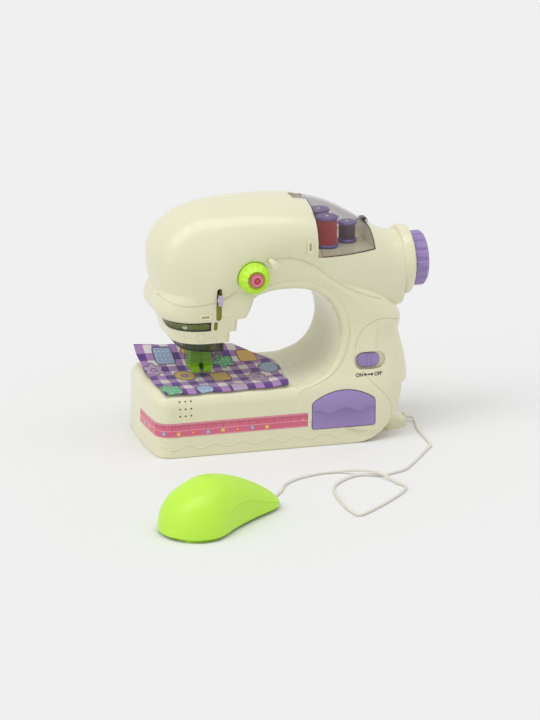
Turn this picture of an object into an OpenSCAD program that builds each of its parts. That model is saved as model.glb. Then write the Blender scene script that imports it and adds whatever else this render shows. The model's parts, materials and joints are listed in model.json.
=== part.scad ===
/* [Base] */
// Length of the base from end to end
base_l = 234; // [230:1:240]
// Depth of the base from front to back
base_d = 111; // [109:1:118]
// Height of the sewing bed above the table
bed_h = 55; // [54:0.5:58]
// Edge radius along the front of the bed
bed_edge_r = 11; // [8:0.5:12]
// Edge radius along the back of the bed
back_edge_r = 3; // [2:0.5:6]
// Edge radius along the left end of the bed
left_edge_r = 7; // [4:0.5:10]
// Corner radius at the left end, seen from above
left_r = 14; // [10:1:18]
// Thickness of the bottom plate
plate_t = 2.5; // [2:0.1:3]

/* [Body] */
// Wall thickness of the housing
wall = 2.4; // [2:0.1:2.8]
// Depth of the arm and the pillar
body_d = 92; // [90:1:96]
// Height of the throat above the bed
throat_h = 83; // [81:1:86]
// Height of the needle head's underside above the bed
head_gap = 41; // [40:0.5:44]
// Height of the drive shaft above the bed
shaft_rise = 91; // [90:0.5:94]
// Place of the needle along the bed
needle_x = -64; // [-65:0.5:-62]
// Depth of the rounded upper housing
pod_d = 100; // [98:1:104]
// Height of the upper housing above the drive shaft
pod_rise = 66.5; // [65.5:0.5:69]
// Radius of the neck behind the handwheel
neck_r = 26.6; // [25:0.2:28]
// Radius of the flange beside the handwheel
flange_r = 30.5; // [29:0.5:32]
// Radius of the rounded lower right corner of the front half
corner_r = 48; // [46:1:50]

/* [Drive] */
// Diameter of the drive shaft
shaft_d = 6; // [5:0.5:7]
// Throw of the crank that lifts the needle
crank_r = 6.5; // [5:0.5:7]
// Diameter of the crank pin
crank_pin_d = 5; // [4:0.5:5]
// Tooth module of the gears
gear_m = 0.8; // [0.7:0.05:0.85]
// Teeth of the gear on the drive shaft
shaft_teeth = 48; // [44:2:50]
// Teeth of the large idler gear
idler_teeth = 40; // [36:2:44]
// Teeth of the small idler gear
small_teeth = 12; // [10:1:14]
// Teeth of the motor pinion
pinion_teeth = 10; // [10:1:12]
// Face width of the gears
gear_w = 4.5; // [4:0.5:5]
// Diameter of the motor can
motor_d = 20; // [18:0.5:21]
// Width of the motor can across its flats
motor_flat = 15.4; // [14:0.2:17]
// Length of the motor can
motor_l = 25; // [22:1:27]
// Lift of the needle from its place in the photo
needle_up = 9.5; // [6:0.5:9.5]
// Drop of the needle from its place in the photo
needle_down = 3.5; // [2:0.5:3.5]

/* [Handwheel] */
// Diameter of the handwheel
wheel_d = 48; // [44:1:54]
// Width of the handwheel
wheel_w = 12.4; // [10:0.2:15]
// Number of grip flutes round the handwheel
wheel_flutes = 18; // [12:1:24]

/* [Tension dial] */
// Diameter of the dial's disc
dial_d = 27; // [24:0.5:29]
// Number of petals on the dial
dial_petals = 12; // [8:1:14]
// Diameter of the cap in the dial's centre
dial_cap_d = 12; // [10:0.5:13]

/* [Spools] */
// Diameter of the two tall spools
spool_d = 20; // [18:0.5:20.5]
// Height of the two tall spools
spool_h = 27.5; // [25:0.5:28]
// Diameter of the short spool
short_spool_d = 16.5; // [15:0.5:17]
// Height of the short spool
short_spool_h = 18.5; // [16:0.5:18.5]
// Thickness of a spool's flanges
spool_flange = 3; // [2:0.25:3.5]
// Diameter of a spool's core
spool_core_d = 9; // [8:0.5:10]
// Diameter of the pegs that carry the spools
peg_d = 4; // [3:0.25:5]
// Diameter of one turn of the thread winding
thread_d = 2; // [1.6:0.1:2]
// Pitch of the thread winding
thread_pitch = 2.6; // [2.6:0.1:3]
// Thickness of the clear spool cover
cover_t = 1.8; // [1.4:0.1:2]
// Height of the spool compartment's floor above the drive shaft
tray_rise = 20; // [19.5:0.5:20.5]

/* [Drawer] */
// Width of the drawer front
drawer_w = 56; // [50:1:58]
// Height of the drawer front at its middle
drawer_h = 33; // [31:0.5:34]
// Place of the drawer's middle along the base
drawer_x = 50; // [49:0.5:51]
// Height of the drawer's lower edge above the table
drawer_z = 15.7; // [15:0.1:16.5]
// How far the drawer slides out
drawer_out = 36; // [20:1:38]
// Length of the drawer from front to back
drawer_l = 46; // [44:1:48]

/* [Switch] */
// Length of the switch slot
slot_l = 28; // [26:0.5:30]
// Height of the switch slot
slot_h = 15.2; // [14:0.2:16]
// Length of the switch button
button_l = 20.8; // [18:0.2:21]
// Gap round the switch button above and below
button_gap = 1.1; // [0.6:0.1:1.5]

/* [Pedal] */
// Half width of the pedal's round heel
pedal_r = 30.5; // [29:0.5:32]
// Distance from the pedal's spring to its nose
pedal_l = 84; // [81:1:88]
// Height of the pedal
pedal_h = 43.5; // [40:0.5:46]
// Wall thickness of the pedal cover
pedal_wall = 2; // [1.6:0.1:2.4]

/* [Cord and cloth] */
// Diameter of the pedal's cord
cord_d = 2.4; // [2:0.1:2.6]
// Thickness of the cloth
cloth_t = 0.7; // [0.5:0.1:0.8]

/* [Fits] */
// Radial clearance of shafts and pins in their bores
run_gap = 0.05; // [0.03:0.01:0.08]
// Clearance between a moving piece and its neighbours
move_gap = 0.4; // [0.35:0.05:0.5]
// Clearance between fixed pieces that seat on each other
seat_gap = 0.2; // [0.1:0.05:0.3]

/* [Hidden] */
$fn = 32;
cream = "#dedbc0";
purple = "#9680b9";
lime = "#b9f53c";
olive = "#8c8723";
steel = "#b8bcc2";
smoke = "#5a5a4e";

half_l = base_l / 2;
half_d = base_d / 2;
half_b = body_d / 2;
half_p = pod_d / 2;
arch_z = bed_h + throat_h;
shaft_z = bed_h + shaft_rise;
head_z = bed_h + head_gap;
top_z = shaft_z + pod_rise;
far = 300;

// Smooth curve through rows of numbers
function blend(a, b, c, d, t) =
    (2 * b + (c - a) * t + (2 * a - 5 * b + 4 * c - d) * t * t + (3 * b - a - 3 * c + d) * t * t * t) / 2;
function through(rows, n) = [
    for (i = [0 : len(rows) - 2])
        for (k = [0 : n - 1])
            blend(rows[max(i - 1, 0)], rows[i], rows[i + 1], rows[min(i + 2, len(rows) - 1)], k / n),
    rows[len(rows) - 1]
];
function signed_pow(v, p) = sign(v) * pow(abs(v), p);
function unit(v) = v / norm(v);

// Closed solid through loops of equal point count
module skin(loops) {
    m = len(loops[0]);
    k = len(loops);
    polyhedron(
        points = [for (l = loops) each l],
        faces = concat(
            [[for (j = [0 : m - 1]) j]],
            [[for (j = [m - 1 : -1 : 0]) (k - 1) * m + j]],
            [for (i = [0 : k - 2]) for (j = [0 : m - 1]) let (a = i * m + j, b = i * m + (j + 1) % m)
                each [[a, a + m, b + m], [a, b + m, b]]]
        )
    );
}
// Round tube along a path, with rings square to the path
function heading(p, i) = unit(p[min(i + 1, len(p) - 1)] - p[max(i - 1, 0)]);
function ring(p, i, r, sides) =
    let (t = heading(p, i), s = unit(cross([0, 0, 1], t)), u = cross(t, s))
    [for (j = [0 : sides - 1]) let (a = 360 * (j + 0.5) / sides) p[i] + r * (cos(a) * s + sin(a) * u)];
module tube(p, r, sides) {
    skin([for (i = [0 : len(p) - 1]) ring(p, i, r, sides)]);
}
// Cylinder between two places along one axis of the frame
module rod_x(x0, x1, r) {
    translate([x0, 0, 0]) rotate([0, 90, 0]) cylinder(h = x1 - x0, r = r);
}
module rod_y(y0, y1, r) {
    translate([0, y0, 0]) rotate([-90, 0, 0]) cylinder(h = y1 - y0, r = r);
}
module block(low, high) {
    translate(low) cube(high - low);
}
// Stadium-shaped bar along Y between two places in the XZ plane
module bar_y(a, b, r, y0, y1) {
    hull() {
        translate([a[0], 0, a[1]]) rod_y(y0, y1, r);
        translate([b[0], 0, b[1]]) rod_y(y0, y1, r);
    }
}

// Upper housing: x, drop of the top, height of the underside over the shaft, loss of half depth
nose_x = needle_x - 44;
pod_power = 2.3;
pod_rows = [
    [nose_x, -42, 14, -42],
    [nose_x + 3.5, -31, -6, -25],
    [nose_x + 11.5, -19.5, -28, -13],
    [nose_x + 25.5, -9, -50, -5],
    [needle_x - 2, -3.6, -58, -1],
    [needle_x + 11, -2, -38, 0],
    [needle_x + 36, -0.5, -16, 0],
    [0, -1.2, 4, 0],
    [25, -3.6, -4, -0.5],
    [50, -10.2, -28, -2],
    [70, -20.3, -38, -6],
    [half_l - 31, -30.8, -42, -10.5],
    [half_l - 17, -38, -42, -17],
    [half_l - 4, -40.5, -39, -20.5]
];
pod_path = through(pod_rows, 2);
function pod_value(x, c) = lookup(x, [for (r = pod_path) [r[0], r[c]]]);
function pod_top(x) = top_z + pod_value(x, 1);
function pod_low(x) = shaft_z + pod_value(x, 2);
function pod_half(x) = half_p + pod_value(x, 3);
function pod_face(x, z) =
    let (c = (pod_top(x) - pod_low(x)) / 2, v = abs(z - pod_low(x) - c) / c)
    pod_half(x) * pow(1 - pow(min(v, 1), pod_power), 1 / pod_power);
function pod_loop(r, e, n) =
    let (top = top_z + r[1] - e, low = shaft_z + r[2] + e, b = half_p + r[3] - e, c = (top - low) / 2)
    [for (j = [0 : n - 1]) let (a = 360 * j / n)
        [r[0], b * signed_pow(cos(a), 2 / pod_power), low + c + c * signed_pow(sin(a), 2 / pod_power)]];
module pod(e) {
    rows = e > 0 ? [for (i = [1 : len(pod_path) - 1]) if (i % 2 == 0 || i < 6) pod_path[i]] : pod_path;
    intersection() {
        skin([for (r = rows) pod_loop(r, e, e > 0 ? 14 : 20)]);
        block([-far, -far, head_z + e], [far, far, far]);
    }
}

// Arm and pillar: place of the throat edge, place of the outer edge, half depth, outer radius
arm_rows = [
    [needle_x + 32, arch_z - 20, needle_x - 6, shaft_z + 4, half_b, 12],
    [needle_x + 38.5, arch_z - 7, needle_x + 4, shaft_z + 22, half_b, 12],
    [needle_x + 51, arch_z - 1.5, needle_x + 34, shaft_z + 32, half_b, 12],
    [4.5, arch_z, 2, shaft_z + 36, half_b, 10],
    [24, arch_z - 2.5, 35, shaft_z + 16, half_b, 10],
    [38, arch_z - 11, 64, shaft_z - 4, half_b, 12],
    [47, arch_z - 25, 90, shaft_z - 19, half_b, 18],
    [50.5, bed_h + 43, half_l - 8, shaft_z - 39, half_b, 27],
    [49, bed_h + 30, half_l - 8.5, shaft_z - 55, half_b + 0.5, 28],
    [44, bed_h + 18, half_l - 4.5, shaft_z - 72, half_b + 2, 28],
    [35, bed_h + 8, half_l - 1.8, bed_h + 1, half_b + 5, 30],
    [22, bed_h + 2, half_l - 2.2, bed_h - 15, half_d - 1.5, 33],
    [6, bed_h - 4, half_l - 5, bed_h - 35, half_d + 0.2, 36],
    [2, bed_h - 27, half_l - 9, 0, half_d + 0.2, 38]
];
// Raised lip round the throat: distance from the edge, depth below the face
lip = [[0, 9], [0.9, 4.6], [3, 1.8], [6, 0.9], [8.4, 1.6], [10.8, 0.4]];
crown = 1;
function arm_half(r, e) =
    let (l = norm([r[2] - r[0], r[3] - r[1]]) - 2 * e, q = r[5] - e)
    concat(lip, [[l / 2, -crown]], [for (a = [0 : 30 : 90]) [l - q + q * sin(a), q * (1 - cos(a))]]);
function arm_loop(r, e) =
    let (p = [r[0], r[1]], d = unit([r[2] - r[0], r[3] - r[1]]), h = arm_half(r, e))
    concat(
        [for (q = h) let (s = p + d * (q[0] + e)) [s[0], -(r[4] - e - q[1]), s[1]]],
        [for (i = [len(h) - 1 : -1 : 0]) let (q = h[i], s = p + d * (q[0] + e)) [s[0], r[4] - e - q[1], s[1]]]
    );
module arm(e) {
    rows = e > 0 ? arm_rows : through(arm_rows, 2);
    skin([for (i = [len(rows) - 1 : -1 : 0]) arm_loop(rows[i], e)]);
}

// Base: outline at one height, with its own inset at the front, the back and the ends
left_bulge = 4;
right_r = 38;
right_in = 8;
draft = 0.6;
function base_loop(z, ef, eb, es) =
    let (xr = half_l - right_in - es, xl = -half_l + es, rl = left_r - min(es, 6), rr = right_r - es)
    [for (side = [-1, 1]) let (
        yh = half_d - (side < 0 ? ef : eb),
        half = concat(
            [for (k = [0 : 3]) let (y = (yh - rl) * k / 3) [xl + left_bulge * pow(y / yh, 2), side * y, z]],
            [for (a = [18 : 18 : 90]) let (x0 = xl + left_bulge * pow((yh - rl) / yh, 2))
                [x0 + rl * (1 - cos(a)), side * (yh - rl + rl * sin(a)), z]],
            [for (a = [0 : 15 : 90]) [xr - rr + rr * sin(a), side * (yh - rr + rr * cos(a)), z]]
        ), m = len(half))
        each (side < 0 ? half : [for (i = [m - 1 : -1 : 1]) half[i]])];
function edge_in(z, r) = z < bed_h - r ? 0 : r - sqrt(max(r * r - pow(z - bed_h + r, 2), 0));
module base(e) {
    angles = e > 0 ? [0, 45, 90] : [0, 30, 50, 70, 90];
    turn = [for (a = angles) [bed_h - bed_edge_r + bed_edge_r * sin(a), draft]];
    foot = e > 0 ? [[-1, 0]] : [[0, 1], [1.5, 0]];
    skin([for (q = concat(foot, turn))
        let (in = q[1] + e)
        base_loop(q[0] - (q[0] > 2 ? e : 0), in + edge_in(q[0], bed_edge_r), in + edge_in(q[0], back_edge_r),
            in + edge_in(q[0], left_edge_r))]);
}

// Needle head: height over the underside, left end, right end, gain of half depth, corner radius
head_rows = [
    [0, -30, 16.5, -2.5, 26],
    [9.3, -32, 16.5, -1.5, 27],
    [9.8, -32.2, 22.5, -1.5, 27],
    [20, -38, 23, 0, 28],
    [20.8, -39.5, 31, 0.2, 28],
    [23, -41.5, 32, 0.4, 28],
    [27, -43, 34, 0.6, 28],
    [32, -42.8, 36, 0.6, 28],
    [38, -41.5, 38, 0, 28],
    [46, -38, 41, -2, 28]
];
head_corner = 4;
function head_loop(r, e, z) =
    let (
        xl = needle_x + r[1] + e, xr = needle_x + r[2] - e, yh = half_b + r[3] - e,
        rl = r[4] - e, rr = max(head_corner - e, 1),
        front = concat(
            [for (a = [0 : 15 : 90]) [xl + rl * (1 - cos(a)), -(yh - rl) - rl * sin(a)]],
            [for (a = [0 : 45 : 90]) [xr - rr + rr * sin(a), -(yh - rr) - rr * cos(a)]]
        )
    )
    concat(
        [for (p = front) [p[0], p[1], z]],
        [for (i = [len(front) - 1 : -1 : 0]) [front[i][0], -front[i][1], z]]
    );
module head(e) {
    picked = e > 0 ? [0, 2, 3, 5, 7, 9] : [0 : len(head_rows) - 1];
    skin([for (i = picked) let (r = head_rows[i]) head_loop(r, e, head_z + r[0] + (i == 0 ? e : 0))]);
}

// Neck and flange at the handwheel end
neck_end = half_l + 6.5;
module neck(e) {
    start = half_l - 30;
    flange = [
        [neck_r - e, neck_end - 11.5], [flange_r - 1, neck_end - 10.5], [flange_r, neck_end - 8],
        [flange_r, neck_end - 3.5], [flange_r - 1, neck_end - 1.5], [flange_r - 4, neck_end]
    ];
    ends = e > 0 ? [[neck_r - e, neck_end - e]] : flange;
    translate([0, 0, shaft_z])
        rotate([0, 90, 0])
            rotate_extrude($fn = e > 0 ? 16 : 30)
                polygon(concat(
                    [[0, start], [neck_r - 2 - e, start], [neck_r - e, start + 12]],
                    ends,
                    [[0, neck_end - e]]
                ));
}
module body(e) {
    pod(e);
    arm(e);
    base(e);
    head(e);
    neck(e);
}

// Spool compartment
tray_z = shaft_z + tray_rise;
tray_t = 2.5;
well_x0 = 28.8;
well_x1 = half_l - 33;
bulkhead_t = 2.4;
hinge_x = well_x1 - 0.5;
knuckle_r = 2.4;
hinge_z = pod_top(hinge_x) + 0.8;
hinge_pin_r = 1;
knuckle_y = 4;
ear_t = 2.2;
tongue_x = 18;
tongue_y = 8.5;
notch_drop = cover_t + 1;
spool_places = [[46, -15], [46, 11.5], [67.5, -3]];

// Bores, webs and bosses that the two halves share
bush_r = shaft_d / 2 + 2;
bush_x = [needle_x + 18, half_l - 17];
web_t = 3;
shelf_z = shaft_z + 15;
plate_x = half_l - 31.8;
boss_places = [[-104, 26], [12, 26], [98, 60], [-90, 170], [12, 190]];
boss_r = 5.2;
screw_r = 1.4;
screw_head_r = 2.8;
head_y = 22;
foot_bosses = [[-104, -38], [-98, 44], [14, -46], [14, 46], [92, 32]];
foot_boss_r = 3.6;
idler_z = shaft_z - gear_m * (shaft_teeth + small_teeth) / 2;
motor_z = idler_z - gear_m * (idler_teeth + pinion_teeth) / 2;
module webs() {
    difference() {
        union() {
            block([bush_x[0], -far, shaft_z - 18], [bush_x[0] + web_t, far, shaft_z + 20]);
            block([bush_x[1], -far, shaft_z - 20], [bush_x[1] + web_t, far, shaft_z + 20]);
            block([plate_x - 2.7, -far, motor_z - 16], [plate_x - 0.3, far, tray_z - tray_t]);
        }
        translate([0, 0, shaft_z]) rod_x(-far, far, bush_r + seat_gap, $fn = 32);
        block([plate_x - 9, -motor_d / 2 - 0.6, motor_z - motor_flat / 2 - 0.6],
            [plate_x, motor_d / 2 + 0.6, motor_z + motor_flat / 2 + 0.6]);
    }
    block([needle_x - 8, -far, shelf_z], [bush_x[0] + 1, far, shelf_z + web_t]);
    floor_z = tray_z - tray_t - seat_gap;
    block([well_x0 - bulkhead_t, -far, floor_z - 2.1], [well_x0, far, top_z]);
    block([well_x1, -far, floor_z - 2.1], [well_x1 + bulkhead_t, far, top_z]);
    block([well_x0 - bulkhead_t, -far, floor_z - 2.1], [well_x1 + bulkhead_t, far, floor_z]);
    block([tongue_x - 5, -tongue_y - 4, top_z - 14], [well_x0, tongue_y + 4, top_z]);
    for (p = foot_bosses)
        translate([p[0], p[1], plate_t + seat_gap]) cylinder(r = foot_boss_r, h = bed_h);
}
module screw_bosses(r, y0 = -far) {
    for (p = boss_places)
        translate([p[0], 0, p[1]]) rod_y(y0, far, r);
}
// Spool compartment with the room for the cover's tongue and its hinge
module spool_well() {
    block([well_x0, -far, tray_z], [well_x1, far, top_z + 9]);
    steps = 4;
    for (i = [0 : steps - 1]) {
        x0 = tongue_x - 1 + (well_x0 - tongue_x + 2) * i / steps;
        x1 = tongue_x - 1 + (well_x0 - tongue_x + 2) * (i + 1) / steps;
        hull()
            for (x = [x0, x1])
                block([x - 0.01, -tongue_y - 0.7, pod_top(x) - notch_drop],
                    [x + 0.01, tongue_y + 0.7, top_z + 9]);
    }
    translate([hinge_x, 0, hinge_z]) rod_y(-knuckle_y - move_gap, knuckle_y + move_gap, knuckle_r + 0.6);
}
module hinge_ear(y0, y1) {
    difference() {
        hull() {
            translate([hinge_x, 0, hinge_z]) rod_y(y0, y1, hinge_pin_r + 1.2);
            block([well_x1 + 0.2, y0, hinge_z - 5], [well_x1 + 5, y1, hinge_z - 3.4]);
        }
        translate([hinge_x, 0, hinge_z]) rod_y(-far, far, hinge_pin_r + run_gap, $fn = 16);
    }
}
// Corner of the front half that is rounded away over the table
corner_x = 57;
module corner(e, y0, y1) {
    translate([0, y1, 0])
        rotate([90, 0, 0])
            linear_extrude(height = y1 - y0)
                difference() {
                    translate([corner_x, -2]) square([far, corner_r + 2]);
                    translate([corner_x, corner_r]) circle(r = corner_r - e, $fn = 48);
                }
}

// Openings of the front half
take_x = needle_x + 6;
take_low = head_z + 22.8;
take_high = head_z + 47.1;
take_r = 2.4;
thread_x = needle_x + 3.3;
window_x = needle_x - 0.5;
window_y = -14;
window_z0 = head_z + 11.5;
window_z1 = head_z + 19.5;
dial_x = -28.2;
dial_z = shaft_z + 7;
dial_y = -46.8;
dial_stem_r = 3;
post_x = -13.6;
post_z = shaft_z + 21;
post_r = 2.5;
switch_x = 75.3;
switch_z = bed_h + 16.5;
speaker_x = -89.8;
speaker_z = bed_h - 11.8;
speaker_pitch = [4.9, 6.2];
speaker_r = 7.4;
speaker_drop = 1.2;
speaker_y = -half_d + wall + draft + 4.6;
drawer_side = 23.3;
seam = 0.1;
shell_fn = 8;
module stadium_y(x, z, l, h, y0, y1) {
    bar_y([x - (l - h) / 2, z], [x + (l - h) / 2, z], h / 2, y0, y1);
}
// Arched outline of the drawer front, grown by g
module drawer_outline(g) {
    rise = drawer_h - drawer_side;
    r = (pow(drawer_w / 2, 2) + rise * rise) / (2 * rise);
    intersection() {
        translate([-drawer_w / 2 - g, -g]) square([drawer_w + 2 * g, drawer_h + 2 * g]);
        translate([0, drawer_h - r]) circle(r = r + g, $fn = 72);
    }
}
module front_openings() {
    stadium_y(switch_x, switch_z, slot_l, slot_h, -far, -half_b + 8, $fn = 24);
    bar_y([take_x, take_low], [take_x, take_high], take_r, -far, -half_b + 9);
    bar_y([thread_x, head_z + 13.4], [thread_x, head_z + 17.8], 1.7, -far, -half_b + 9);
    translate([dial_x, 0, dial_z]) rod_y(-far, dial_y, dial_d / 2 + 0.7, $fn = 28);
    translate([dial_x, 0, dial_z]) rod_y(-far, 0, dial_stem_r + move_gap);
    translate([post_x, 0, post_z]) rod_y(-far, 0, post_r + seat_gap, $fn = 12);
    translate([drawer_x, -half_d + 12, drawer_z])
        rotate([90, 0, 0]) linear_extrude(height = 40) drawer_outline(move_gap);
    for (i = [-1 : 1])
        for (k = [-1 : 1])
            translate([speaker_x + i * speaker_pitch[0], 0, speaker_z + k * speaker_pitch[1]])
                rotate([90, 0, 0]) cylinder(r = 0.95, h = far, $fn = 6);
    hull()
        for (z = [window_z0 + 1, window_z1 - 1])
            translate([window_x - 1, 0, z]) {
                rod_y(-far, window_y, 1);
                translate([-60, 0, 0]) rod_y(-far, window_y, 1);
            }
}
// Solid places inside the front half
module front_pads() {
    screw_bosses(foot_boss_r);
    corner(wall, -far, 1);
    translate([dial_x, 0, dial_z]) rod_y(-far, dial_y + 3.4, dial_d / 2 + 2.4);
    translate([post_x, 0, post_z]) rod_y(-far, dial_y + 8, post_r + 2.4);
    translate([speaker_x, 0, speaker_z - speaker_drop])
        difference() {
            rod_y(-far, speaker_y - seat_gap, speaker_r + 0.6);
            rod_y(-far, far, speaker_r - 1.2);
        }
    block([take_x - 8, -far, head_z + 8], [take_x + 7, take_y, take_high + 7]);
    for (z = [switch_z - slot_h / 2 - 5, switch_z + slot_h / 2 + 3])
        block([switch_x - 20, -far, z], [switch_x + 24, -half_b + 16, z + 2]);
}
take_y = -half_b + 4.1;

module front_shell() {
    $fn = shell_fn;
    color(cream)
        difference() {
            intersection() {
                union() {
                    body(0);
                    hinge_ear(-knuckle_y - move_gap - ear_t, -knuckle_y - move_gap);
                }
                block([-far, -far, 0], [far, -seam, far]);
            }
            difference() {
                body(wall);
                webs();
                front_pads();
            }
            front_openings();
            corner(0, -far, 1);
            spool_well();
            carriage_hole();
            wheel_hole();
            screw_bosses(screw_r + move_gap, head_y - 38);
            foot_screw_holes();
        }
}
module carriage_hole() {
    block([needle_x - 14, -13.5, head_z - 9], [needle_x + 12, 13.5, head_z + wall + 1]);
}
module wheel_hole() {
    translate([0, 0, shaft_z]) rod_x(half_l - 4, far, hub_r + 0.6, $fn = 20);
}
module foot_screw_holes() {
    for (p = foot_bosses)
        translate([p[0], p[1], -1]) cylinder(r = screw_r + move_gap, h = 18);
}
hub_r = 8;

// Foot of the back half under the rounded corner, where the cord comes out
foot_h = 12;
cord_exit = [121, -6, 4];
bush_body_r = 2.6;
module rear_foot() {
    hull() {
        translate([100, -19.5, 0]) cylinder(r = 8.5, h = foot_h, $fn = 32);
        translate([108.5, -14, 0]) cylinder(r = 10, h = foot_h / 2 + 1, $fn = 32);
        block([92, -2, 0], [110, 2, foot_h]);
        block([92, -2, 0], [118.5, 2, foot_h / 2]);
    }
}
module back_shell() {
    $fn = shell_fn;
    color(cream)
        difference() {
            union() {
                difference() {
                    intersection() {
                        union() {
                            body(0);
                            hinge_ear(knuckle_y + move_gap, knuckle_y + move_gap + ear_t);
                        }
                        block([-far, seam, 0], [far, far, far]);
                    }
                    difference() {
                        body(wall);
                        webs();
                        screw_bosses(boss_r);
                        corner(0, seam, seam + wall);
                    }
                }
                rear_foot();
            }
            spool_well();
            carriage_hole();
            wheel_hole();
            screw_bosses(screw_r + move_gap, head_y - 38);
            for (p = boss_places)
                translate([p[0], 0, p[1]])
                    hull() {
                        rod_y(head_y, head_y + 1, screw_head_r + move_gap);
                        rod_y(half_d + 2, half_d + 3, screw_head_r + 1);
                    }
            foot_screw_holes();
            translate([0, cord_exit[1], cord_exit[2]]) rod_x(cord_exit[0] - 16, far, bush_body_r + seat_gap, $fn = 16);
        }
}

// Bottom plate with the battery bay's opening
bay_x = [-72, -8];
bay_y = 33;
module base_plate() {
    color(cream)
        difference() {
            linear_extrude(height = plate_t)
                difference() {
                    polygon([for (p = base_loop(0, wall + 0.4, wall + 0.4, wall + 0.4)) [p[0], p[1]]]);
                    translate([corner_x - 2, -far]) square([far, far + wall + 0.6]);
                    translate([bay_x[0], -bay_y]) square([bay_x[1] - bay_x[0], 2 * bay_y]);
                }
            for (p = foot_bosses)
                translate([p[0], p[1], -1]) cylinder(r = screw_r + move_gap, h = plate_t + 2);
            for (p = foot_bosses)
                translate([p[0], p[1], -1]) cylinder(r = screw_head_r + move_gap, h = 2.2);
        }
}
module battery_door() {
    color(cream)
        difference() {
            block([bay_x[0] + seat_gap, -bay_y + seat_gap, 0],
                [bay_x[1] - seat_gap, bay_y - seat_gap, plate_t - 0.5]);
            for (y = [-6 : 3 : 6])
                block([bay_x[1] - 14, y - 0.6, -1], [bay_x[1] - 6, y + 0.6, 0.6]);
        }
}
bay_h = 19;
cell_d = 14.2;
cell_l = 50.5;
module battery_box() {
    color("#3c3c40")
        difference() {
            block([bay_x[0] - 2, -bay_y - 2, plate_t], [bay_x[1] + 2, bay_y + 2, bay_h + 2]);
            block([bay_x[0], -bay_y, 0], [bay_x[1], bay_y, bay_h]);
        }
}
cell_y = [for (i = [-1.5 : 1 : 1.5]) i * (cell_d + 1.2)];
module batteries() {
    middle = (bay_x[0] + bay_x[1]) / 2;
    color("#4a7a55")
        for (i = [0 : 3])
            translate([middle, cell_y[i], plate_t + 0.2 + cell_d / 2])
                rotate([0, i % 2 == 0 ? 90 : -90, 0])
                    translate([0, 0, -cell_l / 2]) {
                        cylinder(r = cell_d / 2, h = cell_l - 1);
                        cylinder(r = 2.7, h = cell_l);
                    }
}
module battery_contacts() {
    color(steel)
        for (x = [bay_x[0] + 0.2, bay_x[1] - 0.6])
            for (y = [-1, 1])
                block([x, y * 15.4 - 13, plate_t + 2], [x + 0.4, y * 15.4 + 13, plate_t + 12]);
    color(steel)
        for (i = [0 : 3])
            translate([0, cell_y[i], plate_t + 0.2 + cell_d / 2]) {
                rod_x(bay_x[0] + 0.6, (bay_x[0] + bay_x[1] - cell_l) / 2 - 0.2, 3);
                rod_x((bay_x[0] + bay_x[1] + cell_l) / 2 + 0.2, bay_x[1] - 0.6, 3);
            }
}
board_t = 1.6;
module circuit_board() {
    color("#2f6b3f") {
        difference() {
            block([-66, -22, bay_h + 4.5], [-18, 22, bay_h + 4.5 + board_t]);
            for (x = [-62, -22])
                for (y = [-18, 18])
                    translate([x, y, 0]) cylinder(r = 1.5, h = far);
        }
    }
    color("#202022") {
        block([-50, -8, bay_h + 4.5 + board_t], [-36, 6, bay_h + 4.5 + board_t + 2]);
        for (x = [-60, -56])
            translate([x, 12, bay_h + 4.5 + board_t]) cylinder(r = 2.5, h = 7);
    }
    color("#e8e4cc")
        for (x = [-62, -22])
            for (y = [-18, 18])
                translate([x, y, bay_h + 2]) cylinder(r = 2.6, h = 2.5);
}
module speaker() {
    color("#303034")
        translate([speaker_x, 0, speaker_z - speaker_drop])
            difference() {
                rod_y(speaker_y, speaker_y + 4.5, speaker_r);
                rod_y(speaker_y - 1, speaker_y + 0.8, speaker_r - 1.5);
            }
}

// Fasteners
module screw(head_h, length) {
    cylinder(r = screw_r, h = length);
    difference() {
        cylinder(r = screw_head_r, h = head_h);
        block([-0.4, -1.8, -1], [0.4, 1.8, 0.8]);
        block([-1.8, -0.4, -1], [1.8, 0.4, 0.8]);
    }
}
module housing_screws() {
    color(steel)
        for (p = boss_places)
            translate([p[0], head_y + 2.2, p[1]]) rotate([90, 0, 0]) screw(2, 36);
}
module base_screws() {
    color(steel)
        for (p = foot_bosses)
            translate([p[0], p[1], 0.1]) screw(1, 14);
}

// Drive
wheel_x = neck_end + 0.5;
module handwheel() {
    r = wheel_d / 2;
    color(purple)
        translate([wheel_x, 0, shaft_z])
            rotate([0, 90, 0])
                difference() {
                    rotate_extrude($fn = 96)
                        polygon([
                            [shaft_d / 2 + run_gap, -5.5], [hub_r, -5.5], [hub_r, 0], [r - 1.5, 0], [r, 1.5],
                            [r, wheel_w - 2], [r - 2, wheel_w], [r - 5, wheel_w], [r - 7, wheel_w - 2.5],
                            [8, wheel_w - 2.5], [7, wheel_w - 1], [shaft_d / 2 + run_gap, wheel_w - 1]
                        ]);
                    for (i = [0 : wheel_flutes - 1])
                        rotate(360 * i / wheel_flutes)
                            translate([r + 1.6, 0, -1]) cylinder(r = 3, h = wheel_w + 2);
                }
}
crank_x = needle_x + 6;
shaft_end = wheel_x + wheel_w - 2;
module main_shaft() {
    color(steel)
        translate([0, 0, shaft_z]) rod_x(crank_x, shaft_end, shaft_d / 2);
}
module shaft_bushes() {
    color("#b08d4a")
        for (x = bush_x)
            translate([0, 0, shaft_z])
                difference() {
                    union() {
                        rod_x(x - 1.5, x + web_t + 0.3, bush_r);
                        rod_x(x - 1.5, x - seat_gap, bush_r + 1.5);
                    }
                    rod_x(x - 2, x + web_t + 1, shaft_d / 2 + run_gap);
                }
}
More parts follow.
